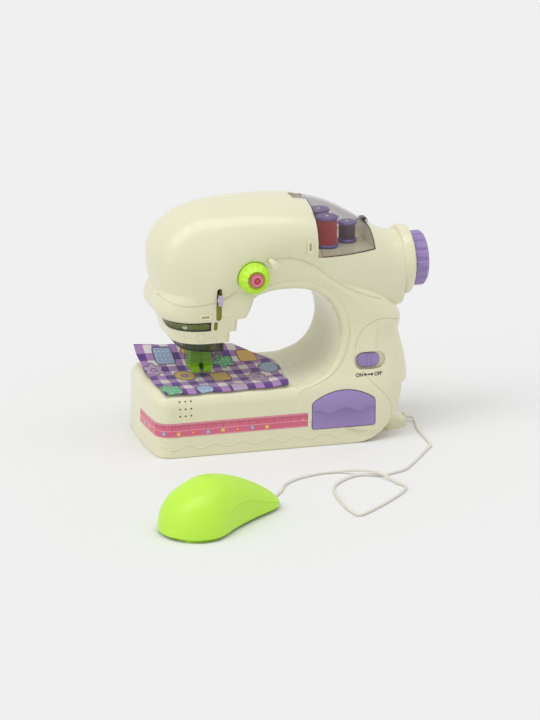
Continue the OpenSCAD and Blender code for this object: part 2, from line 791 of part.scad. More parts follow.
// The pin stands at the height that the rest pose of the carriage asks for
yoke_z = shaft_z - (needle_up - needle_down) / 2;
pin_y = sqrt(crank_r * crank_r - pow(shaft_z - yoke_z, 2));
module crank_disc() {
    color("#e8e4cc")
        difference() {
            union() {
                translate([0, 0, shaft_z]) rod_x(crank_x, crank_x + 4, crank_r + 5.5);
                translate([0, pin_y, yoke_z]) rod_x(needle_x + 2 + move_gap, crank_x + 1, crank_pin_d / 2);
            }
            translate([0, 0, shaft_z]) rod_x(crank_x - 0.1, crank_x + 5, shaft_d / 2 + run_gap);
        }
}
// Gear outline with straight-sided teeth and backlash
module gear(teeth, turn, hole_r) {
    r = gear_m * teeth / 2;
    step = 360 / teeth;
    tip = r + 0.85 * gear_m;
    root = r - 1.15 * gear_m;
    difference() {
        polygon([for (i = [0 : teeth - 1]) let (a = turn + i * step)
            each [for (q = [[root, -0.25], [tip, -0.09], [tip, 0.09], [root, 0.25]])
                q[0] * [cos(a + q[1] * step), sin(a + q[1] * step)]]]);
        circle(r = hole_r);
    }
}
gear_x = plate_x + 2.8;
gear_x2 = gear_x + gear_w + 0.6;
module on_axis(x, z) {
    translate([x, 0, z]) rotate([0, 90, 0]) children();
}
module shaft_gear() {
    color("#f0f0ea")
        on_axis(gear_x2, shaft_z) linear_extrude(height = gear_w) gear(shaft_teeth, 0, shaft_d / 2 + run_gap);
}
idler_pin_r = 1.5;
module idler_gear() {
    color("#f0f0ea") {
        on_axis(gear_x, idler_z) linear_extrude(height = gear_w) gear(idler_teeth, 0, idler_pin_r + run_gap);
        on_axis(gear_x + gear_w, idler_z)
            linear_extrude(height = gear_w + 0.6) gear(small_teeth, 180 / small_teeth, idler_pin_r + run_gap);
    }
}
module idler_pin() {
    color(steel)
        translate([0, 0, idler_z]) {
            rod_x(plate_x - 0.2, gear_x2 + gear_w + 1.5, idler_pin_r);
            rod_x(gear_x2 + gear_w + 0.4, gear_x2 + gear_w + 1.5, idler_pin_r + 1);
        }
}
motor_shaft_r = 1;
module motor_pinion() {
    color("#b08d4a")
        on_axis(gear_x, motor_z)
            linear_extrude(height = gear_w) gear(pinion_teeth, 180 / pinion_teeth, motor_shaft_r + run_gap);
}
module motor_shaft() {
    color(steel)
        translate([0, 0, motor_z]) rod_x(plate_x - 6, gear_x + gear_w + 0.5, motor_shaft_r);
}
module motor() {
    color(steel)
        translate([0, 0, motor_z])
            difference() {
                union() {
                    intersection() {
                        rod_x(plate_x - seat_gap - motor_l, plate_x - seat_gap, motor_d / 2);
                        block([-far, -far, -motor_flat / 2], [far, far, motor_flat / 2]);
                    }
                    rod_x(plate_x - seat_gap - motor_l - 2, plate_x - 1, 4);
                    rod_x(plate_x - 1, plate_x + 1.6, 3);
                }
                rod_x(plate_x - 7, plate_x + 3, motor_shaft_r + run_gap);
            }
}
module gearbox_plate() {
    color("#e8e4cc")
        difference() {
            block([plate_x, -18, motor_z - 12], [plate_x + 2, 18, shaft_z + 12]);
            translate([0, 0, shaft_z]) rod_x(plate_x - 1, plate_x + 3, shaft_d / 2 + 1);
            translate([0, 0, idler_z]) rod_x(plate_x - 1, plate_x + 3, idler_pin_r + run_gap);
            translate([0, 0, motor_z]) rod_x(plate_x - 1, plate_x + 3, 3 + run_gap);
            for (y = [-8, 8])
                translate([0, y, motor_z]) rod_x(plate_x - 1, plate_x + 3, 1.2);
        }
}

// Needle and what moves with it
guide_y = 16;
guide_r = 2;
foot_z = bed_h + 5;
module guide_rods() {
    color(steel)
        for (y = [-guide_y, guide_y])
            translate([needle_x, y, head_z + wall + 0.1])
                cylinder(r = guide_r, h = shelf_z - head_z - wall - 0.2);
}
module needle_carriage() {
    slot_y = crank_r + crank_pin_d / 2 + move_gap;
    low = head_z - 12;
    color(lime)
        difference() {
            union() {
                block([needle_x - 4, -guide_y - 4, head_z + 7.5], [needle_x + 4, guide_y + 4, head_z + 18]);
                block([needle_x - 2, -slot_y - 3, head_z + 16], [needle_x + 2, slot_y + 3, yoke_z + 6.2]);
                block([needle_x - 8.5, -8, low], [needle_x + 8.5, 8, head_z + 8]);
            }
            block([needle_x - 3, -slot_y, yoke_z - crank_pin_d / 2 - 0.8],
                [needle_x + 3, slot_y, yoke_z + crank_pin_d / 2 + 0.8]);
            for (y = [-guide_y, guide_y])
                translate([needle_x, y, 0]) cylinder(r = guide_r + run_gap, h = far);
            translate([needle_x, 0, 0]) cylinder(r = needle_r + run_gap, h = low + 14);
            block([needle_x - 6.2, -4.2, low - 1], [needle_x - 2.8, 4.2, low + 8]);
            block([needle_x + 2.8, -4.2, low - 1], [needle_x + 6.2, 4.2, low + 8]);
        }
}
needle_r = 0.9;
module needle() {
    tip = foot_z + 0.3;
    color(steel)
        translate([needle_x, 0, tip]) {
            cylinder(r1 = 0.15, r2 = needle_r, h = 5);
            translate([0, 0, 5]) cylinder(r = needle_r, h = head_z - tip - 4);
        }
}
// Presser foot: a shank that splits into two toes round the needle
module presser_foot() {
    color(lime)
        difference() {
            union() {
                for (x = [-6, 2.8])
                    block([needle_x + x + 0.1, -4.1, foot_z + 6], [needle_x + x + 3.1, 4.1, head_z - 4.2]);
                block([needle_x - 9, -7, foot_z + 5], [needle_x + 9, 7, head_z - 12.2]);
                translate([needle_x - 10, 0, 0])
                    rotate([90, 0, 90])
                        linear_extrude(height = 20)
                            polygon([
                                [-10, foot_z + 2.6], [-8.5, foot_z], [7, foot_z], [9, foot_z + 3],
                                [7, foot_z + 7], [-4, foot_z + 7], [-6, foot_z + 3.2]
                            ]);
            }
            block([needle_x - 2.2, -far, foot_z - 1], [needle_x + 2.2, 3, foot_z + 30]);
            translate([needle_x, 0, 0]) cylinder(r = 2.2, h = far);
        }
}
module finger_guard() {
    y = -18;
    low = foot_z + 12;
    left = needle_x - 17.5;
    right = needle_x + 15;
    bar = 2.4;
    round_r = 4;
    color("#dfe4e4")
        translate([0, y + 1, 0])
            rotate([90, 0, 0])
                linear_extrude(height = 2)
                    difference() {
                        guard_outline(left, right, low, round_r);
                        guard_outline(left + bar, right - bar, low + bar, round_r - bar);
                    }
}
// Upright rectangle with round lower corners, up to the underside of the head
module guard_outline(x0, x1, z0, r) {
    translate([x0, z0 + r]) square([x1 - x0, head_z - 0.05 - z0 - r]);
    translate([x0 + r, z0]) square([x1 - x0 - 2 * r, 2 * r]);
    for (x = [x0 + r, x1 - r])
        translate([x, z0 + r]) circle(r = r);
}

// Take-up lever and the slotted guide that it runs in
lever_z = head_z + 39.5;
slit_w = 2.4;
lever_share = 0.5;
guide_t = 2;
module take_up_guide() {
    y0 = take_y + 0.3;
    slit_low = lever_z - 3.6 - needle_down * lever_share - 0.4;
    slit_high = lever_z + 3.6 + needle_up * lever_share + 0.4;
    color(olive)
        difference() {
            union() {
                block([take_x - 8, y0, head_z + 9], [take_x + 7, y0 + guide_t, take_high + 6]);
                for (x = [take_x - 5.6, take_x + 3.6])
                    block([x, y0 + guide_t, slit_low - 3], [x + 2, y0 + guide_t + 4, slit_high + 3]);
                bar_y([take_x, take_low], [take_x, take_high], take_r - 0.3, -half_b + 1, y0 + 0.5);
                bar_y([thread_x, head_z + 13.4], [thread_x, head_z + 17.8], 1.4, -half_b + 2, y0 + 0.5);
            }
            block([take_x - slit_w / 2, -far, slit_low], [take_x + slit_w / 2, far, slit_high]);
        }
}
module take_up_lever() {
    y0 = take_y + 0.3 + guide_t + move_gap;
    stem = slit_w / 2 - move_gap;
    color("#beafcd") {
        block([take_x - 3.2, y0, lever_z - 6], [take_x + 3.2, y0 + 3, lever_z + 6]);
        block([take_x - stem, -half_b - 4, lever_z - 3.6], [take_x + stem, y0 + 1, lever_z + 3.6]);
        translate([take_x, -half_b - 4.4, lever_z])
            rotate([90, 0, 0])
                cylinder(r1 = 2.6, r2 = 2, h = 3);
        block([take_x - 1.6, -half_b - 7, lever_z - 4.4], [take_x + 1.6, -half_b - 4, lever_z + 4.2]);
    }
}

// Window band in the needle head
function head_between(z) =
    let (a = head_rows[2], b = head_rows[3], t = (z - head_z - a[0]) / (b[0] - a[0])) a + (b - a) * t;
function head_band(z, e) =
    let (r = head_between(z), xl = needle_x + r[1] + e, yh = half_b + r[3] - e, q = r[4] - e)
    concat(
        [[window_x - 0.3, -yh, z]],
        [for (a = [90 : -15 : 0]) [xl + q * (1 - cos(a)), -(yh - q) - q * sin(a), z]],
        [[xl, window_y - 0.3, z]]
    );
module head_window() {
    out = 0.7;
    in = 2.2;
    z0 = window_z0 + 0.3;
    z1 = window_z1 - 0.3;
    a = head_band(z0, out);
    b = head_band(z1, out);
    c = head_band(z1, in);
    d = head_band(z0, in);
    color(smoke)
        skin([for (i = [0 : len(a) - 1]) [a[i], b[i], c[i], d[i]]]);
}
// Lens ring under the needle head
lens_h = 8;
lens_row = [0, -21, 12.1, -4, 28];
module lens_outline(e) {
    polygon([for (p = head_loop(lens_row, e, 0)) [p[0], p[1]]]);
}
module head_lens() {
    color(smoke)
        translate([0, 0, head_z - lens_h])
            linear_extrude(height = lens_h - 0.05)
                difference() {
                    lens_outline(0);
                    lens_outline(2.6);
                }
}

// Thread path fittings
module oval(l, w) {
    square([l - w, w], center = true);
    for (s = [-1, 1])
        translate([s * (l - w) / 2, 0]) circle(r = w / 2);
}
module head_thread_guide() {
    color(cream)
        translate([needle_x - 6.3, -half_b - 0.7, head_z + 25])
            rotate([90, 0, 0])
                linear_extrude(height = 2)
                    difference() {
                        oval(12, 5);
                        square([6.5, 1.6], center = true);
                    }
}
module upper_thread_guide() {
    x = 21;
    z = shaft_z + 31;
    color(cream)
        translate([x, -pod_face(x, z) - 0.2, z])
            rotate([90, 0, 0])
                linear_extrude(height = 2.4)
                    rotate(90)
                        difference() {
                            oval(13, 5);
                            square([6.5, 1.6], center = true);
                        }
}
module thread_post() {
    color(cream)
        translate([post_x, 0, post_z]) {
            rod_y(-half_p - 15, dial_y + 8, post_r);
            translate([0, -half_p - 15, 0]) rod_y(-2.5, 0, post_r + 0.8);
        }
}

// Tension dial
dial_t = 6;
module tension_dial() {
    back = dial_y - move_gap;
    color(lime)
        translate([dial_x, 0, dial_z]) {
            rod_y(back - dial_t, back, dial_d / 2, $fn = 36);
            rod_y(back - 1, dial_y + 7, dial_stem_r, $fn = 16);
            for (i = [0 : dial_petals - 1])
                rotate([0, 360 * i / dial_petals, 0])
                    translate([0, back - dial_t, 0])
                        hull() {
                            petal_stud(8, 1.2, 6);
                            petal_stud(10.6, 2.3, 3.4);
                            petal_stud(12, 1.2, 0.8);
                        }
            rod_y(back - dial_t - 4, back - dial_t + 0.1, 6.6, $fn = 16);
        }
}
module petal_stud(out, r, h) {
    translate([out, 0, 0]) rotate([90, 0, 0]) cylinder(r = r, h = h, $fn = 6);
}
module dial_cap() {
    r = dial_cap_d / 2;
    back = dial_y - move_gap - dial_t - 4 - seat_gap / 2;
    color("#e0708c")
        translate([dial_x, back, dial_z])
            rotate([90, 0, 0])
                rotate_extrude()
                    polygon(concat([[0, 0], [r, 0]],
                        [for (a = [0 : 15 : 90]) [r - 1.6 + 1.6 * cos(a), 1.6 + 1.6 * sin(a)]], [[0, 3.6]]));
}

// Spool cover, swinging about the hinge at its right end
cover_x0 = well_x0 + 1;
cover_x1 = well_x1 - move_gap;
cover_z = tray_z + move_gap;
cover_sides = 10;
function cover_arc(x, e) =
    let (
        top = pod_top(x) - e, low = pod_low(x) + e, c = (top - low) / 2, b = pod_half(x) - e,
        s = asin(signed_pow((cover_z - low - c) / c, pod_power / 2))
    )
    [for (k = [0 : cover_sides]) let (a = s + (180 - 2 * s) * k / cover_sides)
        [x, b * signed_pow(cos(a), 2 / pod_power), low + c + c * signed_pow(sin(a), 2 / pod_power)]];
function cover_loop(x) =
    let (inner = cover_arc(x, cover_t))
    concat(cover_arc(x, 0), [for (k = [cover_sides : -1 : 0]) inner[k]]);
module spool_cover() {
    stations = 8;
    steps = 6;
    reach = hinge_x - cover_x0;
    cover_l = cover_x1 - cover_x0;
    color("#d8dad6", 0.5)
        difference() {
            union() {
                intersection() {
                    skin([for (i = [0 : stations]) cover_loop(cover_x0 + cover_l * i / stations)]);
                    union() {
                        translate([hinge_x, 0, hinge_z]) rod_y(-far, far, reach, $fn = 180);
                        block([-far, -far, hinge_z], [far, far, far]);
                    }
                }
                for (i = [0 : steps - 1])
                    hull()
                        for (k = [i, i + 1])
                            let (x = tongue_x + (cover_x0 + 2 - tongue_x) * k / steps)
                            block([x - 0.01, -tongue_y, pod_top(x) - cover_t],
                                [x + 0.01, tongue_y, pod_top(x)]);
                hull() {
                    translate([hinge_x, 0, hinge_z]) rod_y(-knuckle_y, knuckle_y, knuckle_r, $fn = 24);
                    block([hinge_x - 4, -knuckle_y, pod_top(hinge_x - 4) - cover_t],
                        [hinge_x - 3, knuckle_y, pod_top(hinge_x - 4)]);
                }
                hull()
                    for (y = [1 - tongue_y, tongue_y - 1])
                        translate([tongue_x + 1, y, pod_top(tongue_x) - cover_t])
                            cylinder(r = 1, h = cover_t + 0.8, $fn = 12);
            }
            translate([hinge_x, 0, hinge_z]) rod_y(-far, far, hinge_pin_r + move_gap, $fn = 24);
        }
}
module cover_hinge_pin() {
    color(steel)
        translate([hinge_x, 0, hinge_z])
            rod_y(-knuckle_y - move_gap - ear_t + 0.1, knuckle_y + move_gap + ear_t - 0.1, hinge_pin_r);
}
module spool_tray() {
    xs = [well_x0 + 0.1, 40, 52, 64, 76, well_x1 - 0.1];
    z = tray_z - tray_t;
    side = [for (x = xs) [x, min(pod_face(x, tray_z), pod_face(x, z)) - wall - 2.4]];
    color(cream)
        translate([0, 0, z])
            linear_extrude(height = tray_t - 0.05)
                difference() {
                    polygon(concat(side, [for (i = [len(xs) - 1 : -1 : 0]) [side[i][0], -side[i][1]]]));
                    for (p = spool_places)
                        translate(p) circle(r = peg_d / 2 + run_gap);
                }
}
function spool_size(i) = i < 2 ? [spool_d, spool_h] : [short_spool_d, short_spool_h];
module spool_pegs() {
    color(cream)
        for (i = [0 : 2])
            translate([spool_places[i][0], spool_places[i][1], tray_z - tray_t]) {
                height = spool_size(i)[1] + tray_t;
                cylinder(r = peg_d / 2, h = height - 0.6);
                translate([0, 0, height - 0.6]) cylinder(r1 = peg_d / 2, r2 = peg_d / 2 - 0.7, h = 0.7);
            }
}
module spool(i) {
    s = spool_size(i);
    bore = peg_d / 2 + run_gap;
    color(purple)
        translate([spool_places[i][0], spool_places[i][1], tray_z + 0.15])
            rotate_extrude($fn = 48)
                polygon([
                    [bore, 0], [s[0] / 2 - 0.8, 0], [s[0] / 2, 0.8], [s[0] / 2, spool_flange - 0.8],
                    [s[0] / 2 - 0.8, spool_flange], [spool_core_d / 2, spool_flange],
                    [spool_core_d / 2, s[1] - spool_flange], [s[0] / 2 - 0.8, s[1] - spool_flange],
                    [s[0] / 2, s[1] - spool_flange + 0.8], [s[0] / 2, s[1] - 1.2], [s[0] / 2 - 1, s[1] - 0.3],
                    [bore, s[1] - 0.3]
                ]);
}
// Thread: one winding over a plain core, with straight ends
winding_steps = 20;
function winding(radius, turns) =
    let (last = winding_steps * turns)
    [for (k = [-1 : last + 1])
        let (i = min(max(k, 0), last), a = 360 * i / winding_steps, run = (k - i) * thread_d)
        [radius * cos(a) - run * sin(a), radius * sin(a) + run * cos(a), thread_pitch * i / winding_steps]];
function self_gap(p) = min([
    for (i = [0 : len(p) - 1])
        for (k = [i + winding_steps / 2 : i + winding_steps + 2])
            if (k < len(p)) norm(p[k] - p[i])
]) - thread_d;
module thread(i, tint) {
    s = spool_size(i);
    room = s[1] - 2 * spool_flange - 1;
    turns = floor((room - thread_d) / thread_pitch);
    core_r = s[0] / 2 - 1 - thread_d;
    path = winding(core_r + 0.1 + thread_d / 2, turns);
    echo(str("least gap between the turns of winding ", i, " is ", self_gap(path), " mm"));
    color(tint)
        translate([spool_places[i][0], spool_places[i][1], tray_z + 0.15 + spool_flange]) {
            difference() {
                translate([0, 0, 0.1]) cylinder(r = core_r, h = s[1] - 2 * spool_flange - 0.2);
                cylinder(r = spool_core_d / 2 + 0.05, h = far);
            }
            translate([0, 0, (s[1] - 2 * spool_flange - turns * thread_pitch) / 2])
                tube(path, thread_d / 2, 6);
        }
}

// Drawer and its sleeve
drawer_t = 1.8;
front_t = 3;
tray_side = 3.5;
drawer_front = -half_d - 0.3;
tray_h = 17;
lip_z = 16.6;
lip_half = 12;
lip_rise = 2.6;
hood_out = 3.6;
hood_r = 27;
module drawer() {
    half = drawer_w / 2 - tray_side;
    back = drawer_front + drawer_l;
    color(purple)
        translate([drawer_x, 0, drawer_z]) {
            difference() {
                block([-half, drawer_front + 1, 1], [half, back, tray_h]);
                block([-half + drawer_t, drawer_front + front_t, 1 + drawer_t],
                    [half - drawer_t, back - drawer_t, tray_h + 1]);
            }
            translate([0, drawer_front + front_t, 0])
                rotate([90, 0, 0])
                    linear_extrude(height = front_t - 1.2) drawer_outline(0);
            translate([-drawer_w / 2, 0, 0])
                rotate([90, 0, 90])
                    linear_extrude(height = drawer_w)
                        polygon([[drawer_front + 1.6, 0], [drawer_front, 0], [drawer_front + 1, lip_z + 1],
                            [drawer_front + 1.6, lip_z + 1]]);
            drawer_hood();
        }
}
// Domed hood with a waved lip above the finger recess
module drawer_hood() {
    side = drawer_w / 2;
    intersection() {
        translate([0, drawer_front + 1.4, 0])
            rotate([90, 0, 0])
                linear_extrude(height = hood_out + 2)
                    intersection() {
                        drawer_outline(0);
                        polygon(concat(
                            [[-side, drawer_h], [-side, lip_z]],
                            [for (x = [-lip_half : 3 : lip_half])
                                [x, lip_z + lip_rise * pow(cos(90 * x / lip_half), 2)]],
                            [[side, lip_z], [side, drawer_h]]
                        ));
                    }
        translate([0, drawer_front - hood_out + hood_r, lip_z + 4])
            rotate([0, 90, 0])
                rotate_extrude($fn = 72)
                    polygon(concat(
                        [[0, -side]],
                        [for (k = [-6 : 6]) [hood_r - (hood_out - 0.2) * pow(k / 6, 2), side * k / 6]],
                        [[0, side]]
                    ));
    }
}
module drawer_housing() {
    half = drawer_w / 2 - tray_side + move_gap;
    y0 = -half_d + wall + 1.4;
    y1 = drawer_front + drawer_l + 1;
    color("#e8e4cc")
        translate([drawer_x, 0, 0])
            difference() {
                union() {
                    block([-half - 2, y0, drawer_z - 1.4], [half + 2, y1 + 2, drawer_z + tray_h + 2]);
                    for (y = [y0, y1 - 4])
                        block([-half - 2, y, plate_t], [corner_x - 4 - drawer_x, y + 6, drawer_z]);
                }
                block([-half, y0 - 1, drawer_z + 1 - move_gap], [half, y1, drawer_z + tray_h + far]);
            }
}

// Slide switch
button_y = -half_b - 1.4;
flange_y = -half_b + 7.5;
switch_low = -2;
switch_high = 4.4;
module switch_slider() {
    h = slot_h - 2 * button_gap;
    x = switch_x - slot_l / 2 + button_l / 2 + 0.6 - switch_low;
    color(purple) {
        stadium_y(x, switch_z, button_l, h, button_y, flange_y + 0.5);
        block([switch_x - slot_l / 2 - switch_high - 1.4, flange_y, switch_z - slot_h / 2 - 1],
            [switch_x + slot_l / 2 - switch_low + 0.2, flange_y + 1.4, switch_z + slot_h / 2 + 1]);
        block([x - 1.4, button_y - 0.7, switch_z - h / 2 + 0.8], [x + 1.4, button_y + 1, switch_z + h / 2 - 0.8]);
        block([x - 1.2, flange_y + 1, switch_z - 1.2], [x + 1.2, flange_y + 4.5, switch_z + 1.2]);
    }
}
module switch_body() {
    y0 = flange_y + 1.4 + move_gap;
    x = switch_x;
    color("#303034")
        difference() {
            block([x - 16, y0, switch_z - slot_h / 2 - 2.8], [x + 18, y0 + 7, switch_z + slot_h / 2 + 2.8]);
            block([x - 12, y0 - 1, switch_z - 2], [x + 14, y0 + 4.5, switch_z + 2]);
        }
}

// Pedal: its own frame has the spring at the origin and the nose along +X
pedal_place = [-121, -235];
pedal_turn = 31.7;
skirt_z = 3;
hinge_u = pedal_l - 11;
pedal_hinge_z = 8;
// Place along the pedal, half width, height, half width of the waist that cuts into its sides
pedal_rows = [
    [-pedal_r - 8.1, 6, 9, 6],
    [-pedal_r - 6.6, 12, 16, 12],
    [-pedal_r - 3, 19.2, pedal_h - 19, 19.2],
    [-pedal_r + 3, pedal_r - 5, pedal_h - 11.5, pedal_r],
    [-pedal_r + 10.5, pedal_r - 1.2, pedal_h - 6.8, pedal_r],
    [-12, pedal_r, pedal_h - 3.8, pedal_r],
    [-3, pedal_r - 1.2, pedal_h - 1, pedal_r - 1.7],
    [6, pedal_r - 3, pedal_h, pedal_r - 4.6],
    [19, pedal_r - 5.9, pedal_h - 2, pedal_r - 8.2],
    [32, 22.2, pedal_h - 6, 19.9],
    [46, 19.4, pedal_h - 12, 17.6],
    [61, 17.2, pedal_h - 20, 16.2],
    [pedal_l - 11, 14.6, pedal_h - 28, 14],
    [pedal_l - 3.5, 9.5, pedal_h - 34.5, 9.2],
    [pedal_l, 6, pedal_h - 37.7, 6]
];
pedal_power = 2.5;
function pedal_loop(r, e, low) =
    let (b = r[1] - e, waist = r[3] - e, h = r[2] - e - low, n = e > 0 ? 8 : 12)
    [for (k = [0 : n]) let (a = 180 * k / n, v = b * signed_pow(cos(a), 2 / pedal_power))
        [r[0], max(min(v, waist), -waist), low + h * sin(a)]];
module pedal_form(e, low) {
    rows = e > 0 ? pedal_rows : through(pedal_rows, 2);
    first = e > 0 ? 1 : 0;
    skin([for (i = [first : len(rows) - 1 - first]) pedal_loop(rows[i], e, low)]);
}
module pedal_frame() {
    translate([pedal_place[0], pedal_place[1], 0]) rotate(pedal_turn) children();
}
module pedal_cover() {
    color(lime)
        pedal_frame()
            difference() {
                union() {
                    difference() {
                        pedal_form(0, skirt_z);
                        pedal_form(pedal_wall, skirt_z - 1);
                    }
                    intersection() {
                        pedal_form(1, skirt_z);
                        pedal_ribs();
                    }
                }
                translate([hinge_u, 0, pedal_hinge_z]) rod_y(-ear_y - 1, ear_y + 1, 1.5 + move_gap, $fn = 16);
            }
}
// Hinge ears, spring seat and ribs under the roof of the cover
ear_y = 7;
module pedal_ribs() {
    for (y = [-ear_y, ear_y - 2.5])
        hull() {
            translate([hinge_u, y, pedal_hinge_z]) rotate([-90, 0, 0]) cylinder(r = 3.4, h = 2.5, $fn = 16);
            block([hinge_u - 3.4, y, 12], [hinge_u + 3.4, y + 2.5, 20]);
        }
    hull() {
        block([-6, -6, 22], [6, 6, 23]);
        block([-7, -7, pedal_h], [7, 7, pedal_h + 1]);
    }
    for (u = [-14, -8, 8, 14, 20])
        hull() {
            block([u - 0.6, -11, pedal_h - 14], [u + 0.6, 11, pedal_h - 13]);
            block([u - 0.8, -14, pedal_h], [u + 0.8, 14, pedal_h + 1]);
        }
}
module pedal_base() {
    inset = pedal_wall + 3;
    last = len(pedal_rows) - 2;
    heel = pedal_rows[1][0] + 3;
    nose = pedal_l - 8;
    rows = [for (i = [1 : last]) let (r = pedal_rows[i]) [min(max(r[0], heel), nose), min(r[1], r[3])]];
    color(lime)
        pedal_frame() {
            linear_extrude(height = 4)
                polygon(concat(
                    [for (r = rows) [r[0], inset - r[1]]],
                    [for (i = [len(rows) - 1 : -1 : 0]) [rows[i][0], rows[i][1] - inset]]
                ));
            difference() {
                for (y = [-3.8, 2.2])
                    block([hinge_u - 2.6, y, 3.5], [hinge_u + 2.6, y + 1.6, pedal_hinge_z + 2.4]);
                translate([hinge_u, 0, pedal_hinge_z]) rod_y(-far, far, 1.5 + run_gap);
            }
        }
}
module pedal_pin() {
    color(steel)
        pedal_frame() translate([hinge_u, 0, pedal_hinge_z]) rod_y(-ear_y, ear_y, 1.5);
}
spring_turns = 4;
module pedal_spring() {
    low = 5;
    high = 20.9;
    steps = 8;
    path = [for (k = [0 : spring_turns * steps]) let (a = 360 * k / steps)
        [5 * cos(a), 5 * sin(a), low + (high - low) * k / spring_turns / steps]];
    color(steel)
        pedal_frame() tube(path, 0.6, 6);
}
module pedal_contact() {
    color("#303034")
        pedal_frame() {
            block([24, -6, 4], [38, 6, 10]);
            translate([31, 0, 9]) cylinder(r = 2, h = 6);
        }
}

// Cord from the machine to the pedal
cord_z = cord_d / 2 + 0.05;
cord_route = [
    [121, -6, 4], [127, -8, 3], [127, -16, cord_z], [123, -37, cord_z], [122, -66, cord_z], [120, -82, cord_z],
    [113, -92, cord_z], [84, -133, cord_z], [71, -142, cord_z], [57, -147, cord_z], [37, -142, cord_z],
    [17, -155, cord_z], [7, -172, cord_z], [4, -202, cord_z], [5, -229, cord_z], [14, -238, cord_z],
    [63, -190, cord_z], [62, -168, 1.7], [53, -149, 4.2], [37, -138, 4.2], [25, -130, 1.7],
    [9, -129, cord_z], [-10, -135, cord_z], [-21, -142, cord_z], [-29.5, -150.5, cord_z], [-35, -162, cord_z],
    [-44, -175.5, cord_z], [-57.6, -191.1, cord_z]
];
module pedal_cord() {
    color("#d8d4be")
        tube(through(cord_route, 3), cord_d / 2, 8);
}
module cord_bush() {
    color(cream)
        translate([0, cord_exit[1], cord_exit[2]])
            difference() {
                union() {
                    rod_x(cord_exit[0] - 14, cord_exit[0] - 0.2, bush_body_r);
                    rod_x(cord_exit[0] - 2, cord_exit[0] - 0.2, bush_body_r + 0.8);
                }
                rod_x(cord_exit[0] - 15, cord_exit[0] + 1, cord_d / 2 + run_gap);
            }
}

// Cloth on the bed: a sheet that curls up at the back
module sewing_cloth() {
    across = 12;
    along = 12;
    lift = bed_h + 0.4;
    cloth_front = -half_d + 4.5;
    function edge_x(t) = t < 0.6 ? 2 + 11 * t : 8.6 - 29 * pow((t - 0.6) / 0.4, 2);
    function spot(s, t) =
        let (
            left = needle_x - 42.5 - 2.5 * t,
            x = left + (edge_x(t) - left) * s,
            y = cloth_front + (52 - cloth_front) * pow(t, 1.15),
            droop = 1.2 * max(1 - 12 * t, 0),
            curl = pow(max(t - 0.62, 0) / 0.38, 2) * (15 - 7 * s),
            wave = 1.1 * pow(s, 3) * (1 + sin(720 * t)) + 0.5 * pow(1 - s, 3) * (1 + sin(540 * t + 60))
        )
        [x, y, lift - droop + curl + wave];
    top = [for (i = [0 : across]) [for (k = [0 : along]) spot(i / across, k / along) + [0, 0, cloth_t]]];
    low = [for (i = [0 : across]) [for (k = [0 : along]) spot(i / across, k / along)]];
    m = along + 1;
    n = (across + 1) * m;
    function at(i, k) = i * m + k;
    function quad(a, b, c, d) = [[a, b, c], [a, c, d]];
    color("#8a66b0")
        polyhedron(
            points = concat([for (c = low) each c], [for (c = top) each c]),
            faces = concat(
                [for (i = [0 : across - 1]) for (k = [0 : along - 1])
                    each quad(at(i, k), at(i + 1, k), at(i + 1, k + 1), at(i, k + 1))],
                [for (i = [0 : across - 1]) for (k = [0 : along - 1])
                    each quad(n + at(i, k), n + at(i, k + 1), n + at(i + 1, k + 1), n + at(i + 1, k))],
                [for (i = [0 : across - 1])
                    each quad(at(i, 0), n + at(i, 0), n + at(i + 1, 0), at(i + 1, 0))],
                [for (i = [0 : across - 1])
                    each quad(at(i, along), at(i + 1, along), n + at(i + 1, along), n + at(i, along))],
                [for (k = [0 : along - 1])
                    each quad(at(0, k), at(0, k + 1), n + at(0, k + 1), n + at(0, k))],
                [for (k = [0 : along - 1])
                    each quad(at(across, k), n + at(across, k), n + at(across, k + 1), at(across, k + 1))]
            )
        );
}

front_shell();
back_shell();
base_plate();
base_screws();
housing_screws();
battery_box();
battery_door();
batteries();
battery_contacts();
circuit_board();
speaker();
handwheel();
main_shaft();
shaft_bushes();
crank_disc();
shaft_gear();
idler_gear();
idler_pin();
motor_pinion();
motor_shaft();
motor();
gearbox_plate();
needle_carriage();
guide_rods();
presser_foot();
needle();
finger_guard();
take_up_lever();
take_up_guide();
head_window();
head_lens();
head_thread_guide();
upper_thread_guide();
thread_post();
tension_dial();
dial_cap();
spool_cover();
cover_hinge_pin();
spool_tray();
spool_pegs();
spool(0);  // spool_front
spool(1);  // spool_rear
spool(2);  // spool_side
thread(0, "#d2607a");  // thread_front
thread(1, "#d2607a");  // thread_rear
thread(2, "#5c4a72");  // thread_side
drawer();
drawer_housing();
switch_slider();
switch_body();
pedal_base();
pedal_cover();
pedal_pin();
pedal_spring();
pedal_contact();
cord_bush();
pedal_cord();
sewing_cloth();
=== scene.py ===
"""Looks of the toy sewing machine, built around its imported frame."""
import json
import math

import bmesh
import bpy
import numpy as np
from mathutils import Matrix, Vector
from mathutils.bvhtree import BVHTree


